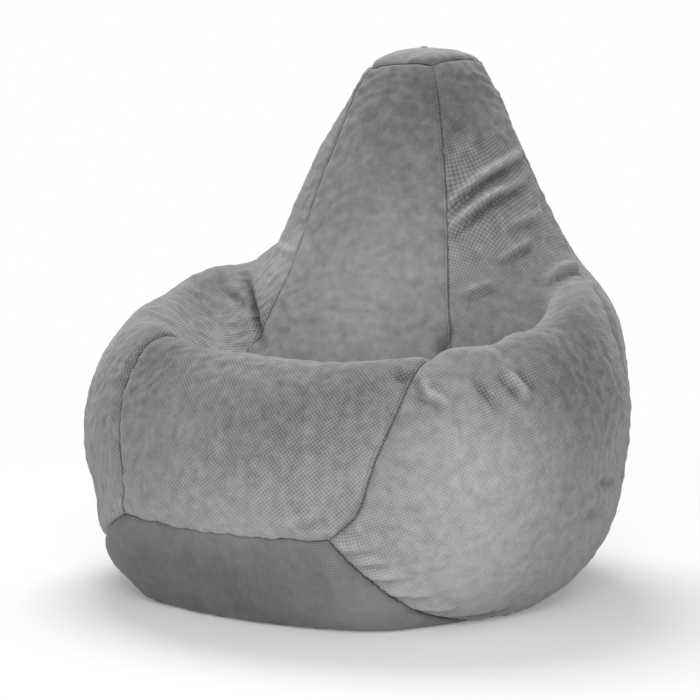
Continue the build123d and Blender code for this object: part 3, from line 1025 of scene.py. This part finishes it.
    def _swell(self) -> None:
        """Swells the cover from inside while its seams gather, and keeps the result within the cap."""
        skin = self.skin
        points = read_points(skin.data)
        lowest, highest = self._panels_round("vertex_index", len(points))
        still = ZIP.beside(points, STILL_STRIP)
        still |= VENT.round(points, VENT.still)
        still |= points[:, 2] < self.floor_hold
        hold = skin.vertex_groups.new(name="hold")
        hold.add(np.flatnonzero(~still).tolist(), self.hold, "REPLACE")
        hold.add(np.flatnonzero(still).tolist(), 1.0, "REPLACE")
        sewn = mark_points(skin, "sewn", lowest != highest)
        cloth = skin.modifiers.new("cloth", "CLOTH")
        settings = cloth.settings
        for name, value in CLOTH_SETTINGS.items():
            setattr(settings, name, value)
        settings.uniform_pressure_force = self.pressure
        settings.effector_weights.gravity = 0.0
        settings.vertex_group_mass = hold.name
        settings.vertex_group_shrink = sewn
        settings.shrink_min = -self.slack
        settings.shrink_max = self.gather
        cloth.collision_settings.use_collision = False
        cloth.point_cache.frame_end = self.frames
        scene = bpy.context.scene
        for step in range(1, self.frames + 1):
            scene.frame_set(step)
        swollen = skin.evaluated_get(bpy.context.evaluated_depsgraph_get()).to_mesh()
        move = read_points(swollen) - points
        skin.modifiers.remove(cloth)
        scene.frame_set(1)
        length = np.linalg.norm(move, axis=1, keepdims=True)
        LOG.info("swell moves %.4f m on average and %.4f m at most", length.mean(), length.max())
        move *= np.minimum(1.0, self.cap / np.maximum(length, TINY_LENGTH))
        write_points(skin.data, points + move)

    def _refine(self) -> None:
        """Divides every quad once and keeps the seams in line."""
        mesh = self.skin.data
        sharp = mesh.attributes.new("crease_edge", "FLOAT", "EDGE")
        lowest, highest = self._panels_round("edge_index", len(mesh.edges))
        sharp.data.foreach_set("value", (lowest != highest).astype(np.float32))
        modify(self.skin, "SUBSURF", levels=1, render_levels=1)

    def _measure_seams(self) -> None:
        """Finds each vertex's panel, the nearest seam and the panel beyond it, and stores the distances."""
        rest = self._rest()
        trees = [surface_tree(panel.value) for panel in PANELS]
        gaps = np.full((len(rest), len(trees)), self.seam_reach)
        hits = np.zeros((len(rest), len(trees), 3))
        for index, place in enumerate(rest):
            spot = Vector(place)
            for panel, tree in enumerate(trees):
                hit = tree.find_nearest(spot, self.seam_reach)
                if hit[0] is not None:
                    gaps[index, panel], hits[index, panel] = hit[3], hit[0]
        order = np.argsort(gaps, axis=1)
        rows = np.arange(len(rest))
        self.own, self.other = order[:, 0], order[:, 1]
        self.seam = gaps[rows, self.other]
        self.anchor = hits[rows, self.other]
        stitched = (self.own < self.other) & (self.other < PANELS.index(Panel.BOTTOM))
        self._store("seam", self.seam)
        self._store("stitch", np.where(stitched, self.seam, 1.0))

    def _store(self, name: str, values: np.ndarray) -> None:
        """Keeps a named value for each vertex in the skin."""
        kept = self.skin.data.attributes.new(name, "FLOAT", "POINT")
        kept.data.foreach_set("value", values.astype(np.float32))

    def _paint_light_and_shade(self, rest: np.ndarray, folds: np.ndarray) -> None:
        """Stores the painted light and shade: patches of it, a painted highlight on the ridges, and painted
        shade in the hollows and creases.

        Args:
            rest: Place of each vertex in the settled bag.
            folds: Height of the folds at each vertex.
        """
        # Painted light on the folds: a painted highlight along the ridges and painted shade in the hollows
        # and creases, in step with the folds' height.
        nap = self.fold_painted_light * folds
        for patch in PAINTED_LIGHT_PATCHES:
            away = np.linalg.norm(rest - np.array(patch.middle), axis=1) / patch.radius
            nap += patch.shade * np.exp(-self.patch_fade * away**2)
        self._store("nap", nap)

    def _rest(self) -> np.ndarray:
        """Reads where each vertex was in the settled bag."""
        rest = np.empty(len(self.skin.data.vertices) * 3, np.float32)
        self.skin.data.attributes["rest"].data.foreach_get("vector", rest)
        return rest.reshape(-1, 3).astype(float)

    def _seam_value(self, name: str) -> np.ndarray:
        """Reads one size of the seam that lies nearest each vertex.

        Args:
            name: Name of the size in the seam's form.

        Returns:
            The size for each vertex.
        """
        bottom, top = PANELS.index(Panel.BOTTOM), PANELS.index(Panel.TOP)
        highest = np.maximum(self.own, self.other)
        lower = np.where(highest == bottom, getattr(BASE_SEAM, name), getattr(GORE_SEAM, name))
        return np.where(highest == top, getattr(TOP_SEAM, name), lower)

    def _fold_moves(self, rest: np.ndarray) -> np.ndarray:
        """Outward move of each vertex for the folds and creases.

        Args:
            rest: Place of each vertex in the settled bag.

        Returns:
            The moves in metres.
        """
        moves = np.zeros(len(rest))
        for fold in FOLDS:
            line = self._on_cover(fold.points)
            lengths = np.linalg.norm(np.diff(line, axis=0), axis=1)
            starts = np.concatenate([[0.0], np.cumsum(lengths)])
            middle = line.mean(axis=0)
            reach = starts[-1] / 2.0 + self.fold_reach * fold.width
            near = np.flatnonzero(np.linalg.norm(rest - middle, axis=1) < reach)
            place = rest[near]
            nearest = np.full(len(near), np.inf)
            share = np.zeros(len(near))
            below = np.zeros(len(near))
            for first, second, length, start in zip(line, line[1:], lengths, starts):
                along = np.clip((place - first) @ (second - first) / length**2, 0.0, 1.0)
                offset = place - (first + along[:, None] * (second - first))
                distance = np.linalg.norm(offset, axis=1)
                closer = distance < nearest
                nearest = np.where(closer, distance, nearest)
                share = np.where(closer, (start + along * length) / starts[-1], share)
                below = np.where(closer, -offset[:, 2], below)
            taper = np.sin(np.interp(share, (0.0, 1.0), self.fold_ends) * math.pi)
            moves[near] += fold.height * taper * np.exp(-((nearest / fold.width) ** 2))
            hollow = np.exp(-((nearest / fold.width - self.hollow_offset) ** 2)) * (below > 0.0)
            moves[near] -= fold.height * fold.fall * taper * hollow
        return moves

    def _on_cover(self, points: tuple[Place, ...]) -> np.ndarray:
        """Lays a line on the cover.

        Args:
            points: Corners of the line.

        Returns:
            Closely spaced points on the cover.
        """
        line = []
        for first, second in zip(points, points[1:]):
            start, leg = Vector(first), Vector(second) - Vector(first)
            steps = max(2, round(leg.length / self.fold_step))
            line += [self.outside.find_nearest(start + leg * (step / steps))[0] for step in range(steps)]
        line.append(self.outside.find_nearest(Vector(points[-1]))[0])
        return np.array(line)

    def _sculpt(self) -> None:
        """Presses in the seams, puckers the cloth beside them and adds the folds and soft waves."""
        mesh = self.skin.data
        points, normals = read_points(mesh), read_normals(mesh)
        rest = self._rest()
        moves = -self._seam_value("depth") * np.exp(-((self.seam / self._seam_value("width")) ** 2))
        ripple = np.array([noise.noise(Vector(anchor) * self.pucker_pitch) for anchor in self.anchor])
        away = self.seam / self._seam_value("spread")
        low = np.where(rest[:, 2] < self.seat_height, self.low_pucker, 1.0)
        low *= self.own != PANELS.index(Panel.BOTTOM)
        pucker = self._seam_value("pucker") * low * (1.0 - self.pucker_swing * np.abs(ripple))
        moves += pucker * away * np.exp(1.0 - away)
        broad = np.array([noise.noise(Vector(place) * self.wave_pitch) for place in rest])
        fine = np.array([noise.noise(Vector(place) * self.crease_pitch) for place in rest])
        moves += self.wave * broad + self.crease * fine
        folds = self._fold_moves(rest)
        self._paint_light_and_shade(rest, folds)
        moves += folds
        points += normals * (moves * self._calm(rest))[:, None]
        points[:, 2] = np.maximum(points[:, 2], 0.0)
        write_points(mesh, points)
        self._ease_base_seam()

    def _ease_base_seam(self) -> None:
        """Smooths the sharp edge along the seam of the base."""
        base = mark_points(self.skin, "base_seam", self.beside_base() & (self.seam < self.ease_reach))
        modify(self.skin, "SMOOTH", vertex_group=base, factor=self.ease, iterations=self.ease_rounds)

    def beside_base(self) -> np.ndarray:
        """Marks the vertices on the base or with a seam of the base as their nearest."""
        return np.maximum(self.own, self.other) == PANELS.index(Panel.BOTTOM)

    def _calm(self, rest: np.ndarray) -> np.ndarray:
        """Share of the folds that is kept: none beside the zip, round the vent and on the floor.

        Args:
            rest: Place of each vertex in the settled bag.

        Returns:
            Shares from 0 to 1.
        """
        shares = (0.0, 1.0)
        from_zip = np.interp(np.abs(rest[:, 0]), (FLAT_STRIP.reach, CALM_STRIP.reach), shares)
        from_vent = np.interp(VENT.away(rest), (VENT.calm_from, VENT.calm_to), shares)
        calm = np.where(ZIP.beside(rest, CALM_STRIP), from_zip, 1.0)
        calm *= np.where(rest[:, 2] > VENT.above, from_vent, 1.0)
        return calm * np.interp(rest[:, 2], (0.0, self.floor_calm), shares)

    def cut(self) -> None:
        """Opens the seam along the zip and cuts the skin into panels with the thickness of cloth."""
        self._open_zip()
        activate(self.skin)
        bpy.ops.mesh.separate(type="MATERIAL")
        for piece in list(bpy.context.selected_objects):
            label = piece.data.polygons[0].material_index
            panel = Panel(piece.data.materials[label].name.removeprefix("cut_"))
            piece.name = f"cover_{panel.value}"
            piece.data.name = piece.name
            self._unwrap(piece)
            modify(piece, "SOLIDIFY", thickness=self.thickness, offset=-1.0)
            self.pieces[panel] = piece

    def _unwrap(self, piece: Piece) -> None:
        """Lays a panel flat as its sewing pattern, in metres, so that the weave follows the cloth.

        Args:
            piece: Panel without thickness.
        """
        with editing(piece):
            bpy.ops.mesh.select_all(action="SELECT")
            bpy.ops.uv.unwrap(method="CONFORMAL", margin=0.0)
        mesh = piece.data
        flat = np.empty(len(mesh.loops) * 2, np.float32)
        mesh.uv_layers.active.data.foreach_get("uv", flat)
        mesh.calc_loop_triangles()
        corners = np.empty(len(mesh.loop_triangles) * 3, np.int32)
        mesh.loop_triangles.foreach_get("loops", corners)
        first, second, third = np.moveaxis(flat.reshape(-1, 2)[corners.reshape(-1, 3)], 1, 0)
        leg, arm = second - first, third - first
        pattern = np.abs(leg[:, 0] * arm[:, 1] - leg[:, 1] * arm[:, 0]).sum() / 2.0
        cloth = sum(face.area for face in mesh.polygons)
        mesh.uv_layers.active.data.foreach_set("uv", flat * np.float32(math.sqrt(cloth / pattern)))

    def _open_zip(self) -> None:
        """Cuts the slot of the zip out of the back seam, and the vent out of the top panel."""
        planes = [((side.value * ZIP.slot, 0.0, 0.0), (1.0, 0.0, 0.0)) for side in Side]
        for travel in (-ZIP.margin, ZIP.length + ZIP.margin):
            tangent = ZIP.point(travel + ZIP.step) - ZIP.point(travel)
            planes.append((tuple(ZIP.point(travel)), tuple(tangent.normalized())))
        for place, direction in planes:
            self._select_faces(lambda centres: ZIP.beside(centres, CUT_STRIP))
            with editing(self.skin):
                bpy.ops.mesh.bisect(plane_co=place, plane_no=direction)
        opening = Strip(ZIP.slot - ZIP.trim)
        self._remove_faces(lambda centres: ZIP.beside(centres, opening))
        self._remove_faces(lambda centres: VENT.round(centres, VENT.hole))

    def _remove_faces(self, chosen: Callable[[np.ndarray], np.ndarray]) -> None:
        """Cuts the chosen faces out of the skin.

        Args:
            chosen: Function that marks rows of face middles.
        """
        self._select_faces(chosen)
        with editing(self.skin):
            bpy.ops.mesh.delete(type="FACE")

    def _select_faces(self, chosen: Callable[[np.ndarray], np.ndarray]) -> None:
        """Selects the faces of the skin whose middles are chosen.

        Args:
            chosen: Function that marks rows of face middles.
        """
        with editing(self.skin):
            bpy.ops.mesh.select_mode(type="FACE")
            bpy.ops.mesh.select_all(action="DESELECT")
        mesh = self.skin.data
        centres = np.empty(len(mesh.polygons) * 3)
        mesh.polygons.foreach_get("center", centres)
        mesh.polygons.foreach_set("select", chosen(centres.reshape(-1, 3)))

    def dress(self, wardrobe: Wardrobe) -> None:
        """Gives each panel its cloth and its place in the object.

        Args:
            wardrobe: Maker of the materials.
        """
        for panel, piece in self.pieces.items():
            finish = BASE_CLOTH if panel is Panel.BOTTOM else VELOUR
            piece.data.materials.clear()
            piece.data.materials.append(wardrobe.cloth(finish, seams=True))
            piece.data.polygons.foreach_set("material_index", np.zeros(len(piece.data.polygons), np.int32))
            activate(piece)
            bpy.ops.object.shade_smooth()
            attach(piece, BAG_BODY)
            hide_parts(panel.value)
            LOG.info("%s has %d faces", piece.name, len(piece.data.polygons))


@dataclass
class InnerBag:
    """The inner bag and the bead mass, both shrunk from the skin of the cover.

    Attributes:
        bag_depth: Depth of the inner bag below the cover.
        bead_depth: Depth of the bead mass below the cover.
        dip: Extra depth behind the zip and the vent.
        voxel: Size of the quads of the shrunk copies.
        rounds: Tries to bring a point back inside.
        push_from: Height above which the points are brought back.
        push_share: Share of the depth that a point needs to count as inside.
        push_limit: Largest move that is kept, in depths.
        tuck: Distance that the bag keeps from the seam of the base.
        middle: Middle of the bag in plan.
        bag: The inner bag.
        beads: The bead mass.
    """

    bag_depth: float = 0.0065
    bead_depth: float = 0.0095
    dip: float = 0.012
    voxel: float = 0.011
    rounds: int = 5
    push_from: float = 0.25
    push_share: float = 0.8
    push_limit: float = 2.0
    tuck: float = 0.040
    middle: tuple[float, float] = (0.0, -0.1)
    bag: Piece | None = field(default=None, init=False)
    beads: Piece | None = field(default=None, init=False)

    def build(self, cover: BagCover) -> None:
        """Shrinks copies of the closed skin.

        Args:
            cover: Cover whose skin is still closed.
        """
        self.bag = self._shrunk(cover, "inner_bag", self.bag_depth)
        self.beads = self._shrunk(cover, "bead_mass", self.bead_depth)

    def _shrunk(self, cover: BagCover, name: str, depth: float) -> Piece:
        """Copies the skin inwards.

        Args:
            cover: Cover whose skin is copied.
            name: Name of the copy.
            depth: Distance inwards.

        Returns:
            The copy.
        """
        piece = bpy.data.objects.new(name, cover.skin.data.copy())
        bpy.context.scene.collection.objects.link(piece)
        mesh = piece.data
        mesh.materials.clear()
        points, normals = read_points(mesh), read_normals(mesh)
        dipped = ZIP.beside(points, STILL_STRIP) | VENT.round(points, VENT.still)
        deeper = np.where(dipped, self.dip, 0.0)
        points -= normals * (depth + deeper)[:, None]
        pull = np.where(cover.beside_base(), self.tuck * np.exp(-((cover.seam / self.tuck) ** 2)), 0.0)
        inward = np.array(self.middle) - points[:, :2]
        points[:, :2] += inward * (pull / np.linalg.norm(inward, axis=1))[:, None]
        write_points(mesh, points)
        modify(piece, "REMESH", mode="VOXEL", voxel_size=self.voxel)
        self._push_inside(piece, cover, depth)
        return piece

    def _push_inside(self, piece: Piece, cover: BagCover, depth: float) -> None:
        """Moves the upper points of a shrunk copy that come too near the skin inwards, except beside the zip.

        Args:
            piece: Shrunk copy.
            cover: Cover whose skin it must stay inside.
            depth: Least distance to the skin.
        """
        tree = mesh_tree(cover.skin.data)
        points = read_points(piece.data)
        chosen = (points[:, 2] > self.push_from) & ~ZIP.beside(points, CLEAR_STRIP)
        for index in np.flatnonzero(chosen):
            start = spot = Vector(points[index])
            for _ in range(self.rounds):
                near, normal = tree.find_nearest(spot)[:2]
                if (spot - near).dot(normal) < -self.push_share * depth:
                    break
                spot = near - normal * depth
            if (spot - start).length < self.push_limit * depth:
                points[index] = spot
        write_points(piece.data, points)

    def dress(self, wardrobe: Wardrobe) -> None:
        """Gives both their materials and their place in the object.

        Args:
            wardrobe: Maker of the materials.
        """
        liners = [f"liner_{panel.value}" for panel in GORES] + ["liner_bottom", "liner_top"]
        for piece, finish, nodes in ((self.bag, LINER_CLOTH, liners), (self.beads, BEAD_MASS, ["bead_fill"])):
            piece.data.materials.append(wardrobe.cloth(finish))
            activate(piece)
            bpy.ops.object.shade_smooth()
            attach(piece, BAG_BODY)
            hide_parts(*nodes)
            LOG.info("%s has %d faces", piece.name, len(piece.data.polygons))


@dataclass
class ZipCoils:
    """The two rows of coil teeth along the zip.

    Attributes:
        pitch: Distance between the teeth of one row.
        wire: Radius of the coil's wire.
        sides: Sides of the wire.
        bends: Steps in the head of a tooth.
        head: Distance of the heads from the middle of the zip.
        tail: Distance of the ends from the middle of the zip.
        crown: Height of the upper leg, outward from the arc.
        foot: Height of the lower leg, outward from the arc.
        smooth_angle: Largest angle between faces that are shaded as one.
        rows: The finished row of each side.
    """

    pitch: float = 0.0015
    wire: float = 0.00035
    sides: int = 6
    bends: int = 4
    head: float = 0.0007
    tail: float = 0.0031
    crown: float = -0.00105
    foot: float = -0.00235
    smooth_angle: float = math.radians(50.0)
    rows: dict[Side, Piece] = field(default_factory=dict)

    def build(self) -> None:
        """Bends one tooth and lays copies of it along both edges of the zip."""
        for side in Side:
            self.rows[side] = self._row(side)

    def _row(self, side: Side) -> Piece:
        """Makes the teeth of one edge.

        Args:
            side: Edge of the zip.

        Returns:
            The row of teeth.
        """
        pivot = (0.0, ZIP.centre_y, ZIP.centre_z)
        count = int(ZIP.length / self.pitch)
        early = self.pitch / 4.0 * (1.0 + side.value)
        first = ZIP.start + early / ZIP.radius
        piece = self._tooth(side)
        swing = (count - 1) * self.pitch / ZIP.radius
        with editing(piece):
            bpy.ops.mesh.select_all(action="SELECT")
            bpy.ops.transform.rotate(value=-first, orient_axis="X", center_override=pivot)
            bpy.ops.mesh.spin(steps=count - 1, dupli=True, angle=-swing, center=pivot, axis=(1.0, 0.0, 0.0))
            bpy.ops.mesh.select_all(action="SELECT")
            bpy.ops.mesh.normals_make_consistent(inside=False)
        return piece

    def _tooth(self, side: Side) -> Piece:
        """Draws one wire loop, out along the top and back along the tape.

        Args:
            side: Edge of the zip.

        Returns:
            The loop, level with the arc's centre.
        """
        bend = (self.crown - self.foot) / 2.0
        elbow = self.head + self.wire + bend
        reach = ZIP.centre_y + ZIP.radius
        bpy.ops.object.select_all(action="DESELECT")
        bpy.ops.mesh.primitive_circle_add(
            vertices=self.sides,
            radius=self.wire,
            fill_type="NGON",
            location=(side.value * self.tail, reach + self.crown, ZIP.centre_z),
            rotation=(0.0, math.pi / 2.0, 0.0),
        )
        piece = bpy.context.view_layer.objects.active
        piece.name = f"zip_teeth_{side.name.lower()}"
        bpy.ops.object.transform_apply(location=True, rotation=True, scale=True)
        leg = side.value * (self.tail - elbow)
        with editing(piece):
            bpy.ops.mesh.select_mode(type="FACE")
            bpy.ops.mesh.select_all(action="SELECT")
            bpy.ops.mesh.extrude_region_move(TRANSFORM_OT_translate={"value": (-leg, 0.0, 0.0)})
            bpy.ops.mesh.spin(
                steps=self.bends,
                angle=side.value * math.pi,
                center=(side.value * elbow, reach + (self.crown + self.foot) / 2.0, ZIP.centre_z),
                axis=(0.0, 0.0, 1.0),
            )
            bpy.ops.mesh.extrude_region_move(TRANSFORM_OT_translate={"value": (leg, 0.0, 0.0)})
            bpy.ops.mesh.select_all(action="SELECT")
            bpy.ops.mesh.remove_doubles(threshold=TINY_LENGTH)
        return piece

    def dress(self, wardrobe: Wardrobe) -> None:
        """Gives the teeth their plastic and their place in the object.

        Args:
            wardrobe: Maker of the materials.
        """
        for side, piece in self.rows.items():
            piece.data.materials.append(wardrobe.hard(COIL_PLASTIC))
            activate(piece)
            bpy.ops.object.shade_smooth_by_angle(angle=self.smooth_angle)
            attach(piece, BAG_BODY)
            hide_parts(f"zip_coil_{side.name.lower()}")
            LOG.info("%s has %d faces", piece.name, len(piece.data.polygons))


class Hardware:
    """The zip's tapes, stops, slider and pull and the vent's eyelet, which keep their solids."""

    TAPES = ("zip_tape_left", "zip_tape_right")
    ZIP_PIECES = ("zip_top_stop_left", "zip_top_stop_right", "zip_bottom_stop", "zip_slider", "zip_pull")
    VENT_PIECES = ("vent_eyelet", "vent_washer")

    def dress(self, wardrobe: Wardrobe) -> None:
        """Gives each solid its material.

        Args:
            wardrobe: Maker of the materials.
        """
        finishes = (
            (self.TAPES, wardrobe.cloth(TAPE_CLOTH)),
            (self.ZIP_PIECES, wardrobe.hard(ZIP_METAL)),
            (self.VENT_PIECES, wardrobe.hard(EYELET_METAL)),
        )
        for nodes, material in finishes:
            for node in nodes:
                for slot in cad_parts[node].material_slots:
                    slot.material = material
                LOG.info("%s wears %s", node, material.name)


@dataclass(frozen=True)
class Lamp:
    """A large soft lamp that points at the bag.

    Attributes:
        name: Name of the lamp.
        place: Place of the lamp.
        size: Side of its square face.
        power: Power in watts.
    """

    name: str
    place: Place
    size: float
    power: float


LAMPS = (
    Lamp("front_lamp", (1.75, -2.75, 1.40), 1.8, 57.0),
    Lamp("upper_lamp", (-0.80, 0.85, 2.65), 1.5, 44.0),
)


@dataclass
class Studio:
    """Pale floor, soft light and the camera.

    Attributes:
        floor_size: Side of the square floor.
        floor_drop: Distance of the floor below the bag.
        floor_grey: Grey of the floor.
        floor_glow: Paleness added where the floor is seen directly.
        clear_from: Distance from the bag where the floor starts to fade to white.
        clear_to: Distance where the floor is white.
        ambient: Brightness of the light from all around.
        lamps: The soft lamps.
        camera_place: Place of the camera.
        target: Point that the camera looks at.
        lens: Focal length in millimetres.
        shift: Shift of the picture, as shares of its width.
    """

    floor_size: float = 30.0
    floor_drop: float = 0.0006
    floor_grey: float = 0.95
    floor_glow: float = 0.17
    clear_from: float = 0.9
    clear_to: float = 1.9
    ambient: float = 0.32
    lamps: tuple[Lamp, ...] = LAMPS
    camera_place: Place = (1.787, -3.114, 0.815)
    target: Place = (0.0, -0.020, 0.376)
    lens: float = 115.7
    shift: tuple[float, float] = (-4.0 / 700.0, 4.0 / 700.0)

    def build(self) -> None:
        """Makes the floor, the lights and the camera."""
        self._floor()
        self._world()
        self._lamps()
        self._camera()
        bpy.context.scene.view_settings.view_transform = "Standard"

    def _seen(self, nodes: Nodes) -> Socket:
        """Gives 1 for rays that look straight at, mirror or look through to a surface."""
        path = nodes.add("LightPath").outputs
        mirrored = nodes.math("MAXIMUM", path["Is Camera Ray"], path["Is Glossy Ray"])
        return nodes.math("MAXIMUM", mirrored, path["Is Transmission Ray"])

    def _floor(self) -> None:
        """Lays the floor, which keeps the shadow and fades to white away from the bag."""
        bpy.ops.object.select_all(action="DESELECT")
        bpy.ops.mesh.primitive_plane_add(size=self.floor_size, location=(0.0, 0.0, -self.floor_drop))
        floor = bpy.context.view_layer.objects.active
        floor.name = "floor"
        material, nodes, shader = new_material("floor")
        nodes.tree.nodes.remove(shader)
        seen = self._seen(nodes)
        grey = (self.floor_grey, self.floor_grey, self.floor_grey, 1.0)
        matt = nodes.add("BsdfDiffuse", {"Color": grey}).outputs[0]
        glow = nodes.add("Emission", {"Strength": nodes.math("MULTIPLY", seen, self.floor_glow)}).outputs[0]
        near = nodes.add("AddShader", {0: matt, 1: glow}).outputs[0]
        far = nodes.add("Emission").outputs[0]
        place = nodes.add("TexCoord").outputs["Object"]
        length = nodes.add("VectorMath", {0: place}, operation="LENGTH").outputs["Value"]
        clear = nodes.math("MULTIPLY", nodes.ramp(length, self.clear_from, self.clear_to), seen)
        mix = nodes.add("MixShader", {0: clear, 1: near, 2: far}).outputs[0]
        nodes.feed(nodes.tree.nodes["Material Output"], {"Surface": mix})
        floor.data.materials.append(material)

    def _world(self) -> None:
        """Lights the scene evenly from all around and shows white behind it."""
        world = bpy.data.worlds.new("studio")
        world.use_nodes = True
        nodes = Nodes(world.node_tree)
        strength = nodes.span(self._seen(nodes), self.ambient)
        back = {"Strength": strength, "Color": (1.0, 1.0, 1.0, 1.0)}
        nodes.feed(world.node_tree.nodes["Background"], back)
        bpy.context.scene.world = world

    def _aim(self, piece: Piece, place: Place) -> None:
        """Puts a lamp or camera in its place, looking at the target.

        Args:
            piece: Lamp or camera.
            place: Its place.
        """
        piece.location = place
        away = Vector(self.target) - Vector(place)
        piece.rotation_euler = away.to_track_quat("-Z", "Y").to_euler()
        bpy.context.scene.collection.objects.link(piece)

    def _lamps(self) -> None:
        """Hangs the large soft lamps."""
        for lamp in self.lamps:
            light = bpy.data.lights.new(lamp.name, "AREA")
            light.energy = lamp.power
            light.size = lamp.size
            self._aim(bpy.data.objects.new(lamp.name, light), lamp.place)

    def _camera(self) -> None:
        """Sets up the camera at the photograph's viewing angle."""
        camera = bpy.data.cameras.new("camera")
        camera.lens = self.lens
        camera.shift_x, camera.shift_y = self.shift
        piece = bpy.data.objects.new("camera", camera)
        self._aim(piece, self.camera_place)
        bpy.context.scene.camera = piece


def main() -> None:
    """Builds every piece in order and reports it."""
    logging.basicConfig(level=logging.INFO, format="%(message)s")
    wardrobe = Wardrobe()
    cover = BagCover()
    cover.build()
    inner = InnerBag()
    inner.build(cover)
    cover.cut()
    cover.dress(wardrobe)
    inner.dress(wardrobe)
    coils = ZipCoils()
    coils.build()
    coils.dress(wardrobe)
    Hardware().dress(wardrobe)
    Studio().build()


if __name__ == "__main__":
    main()
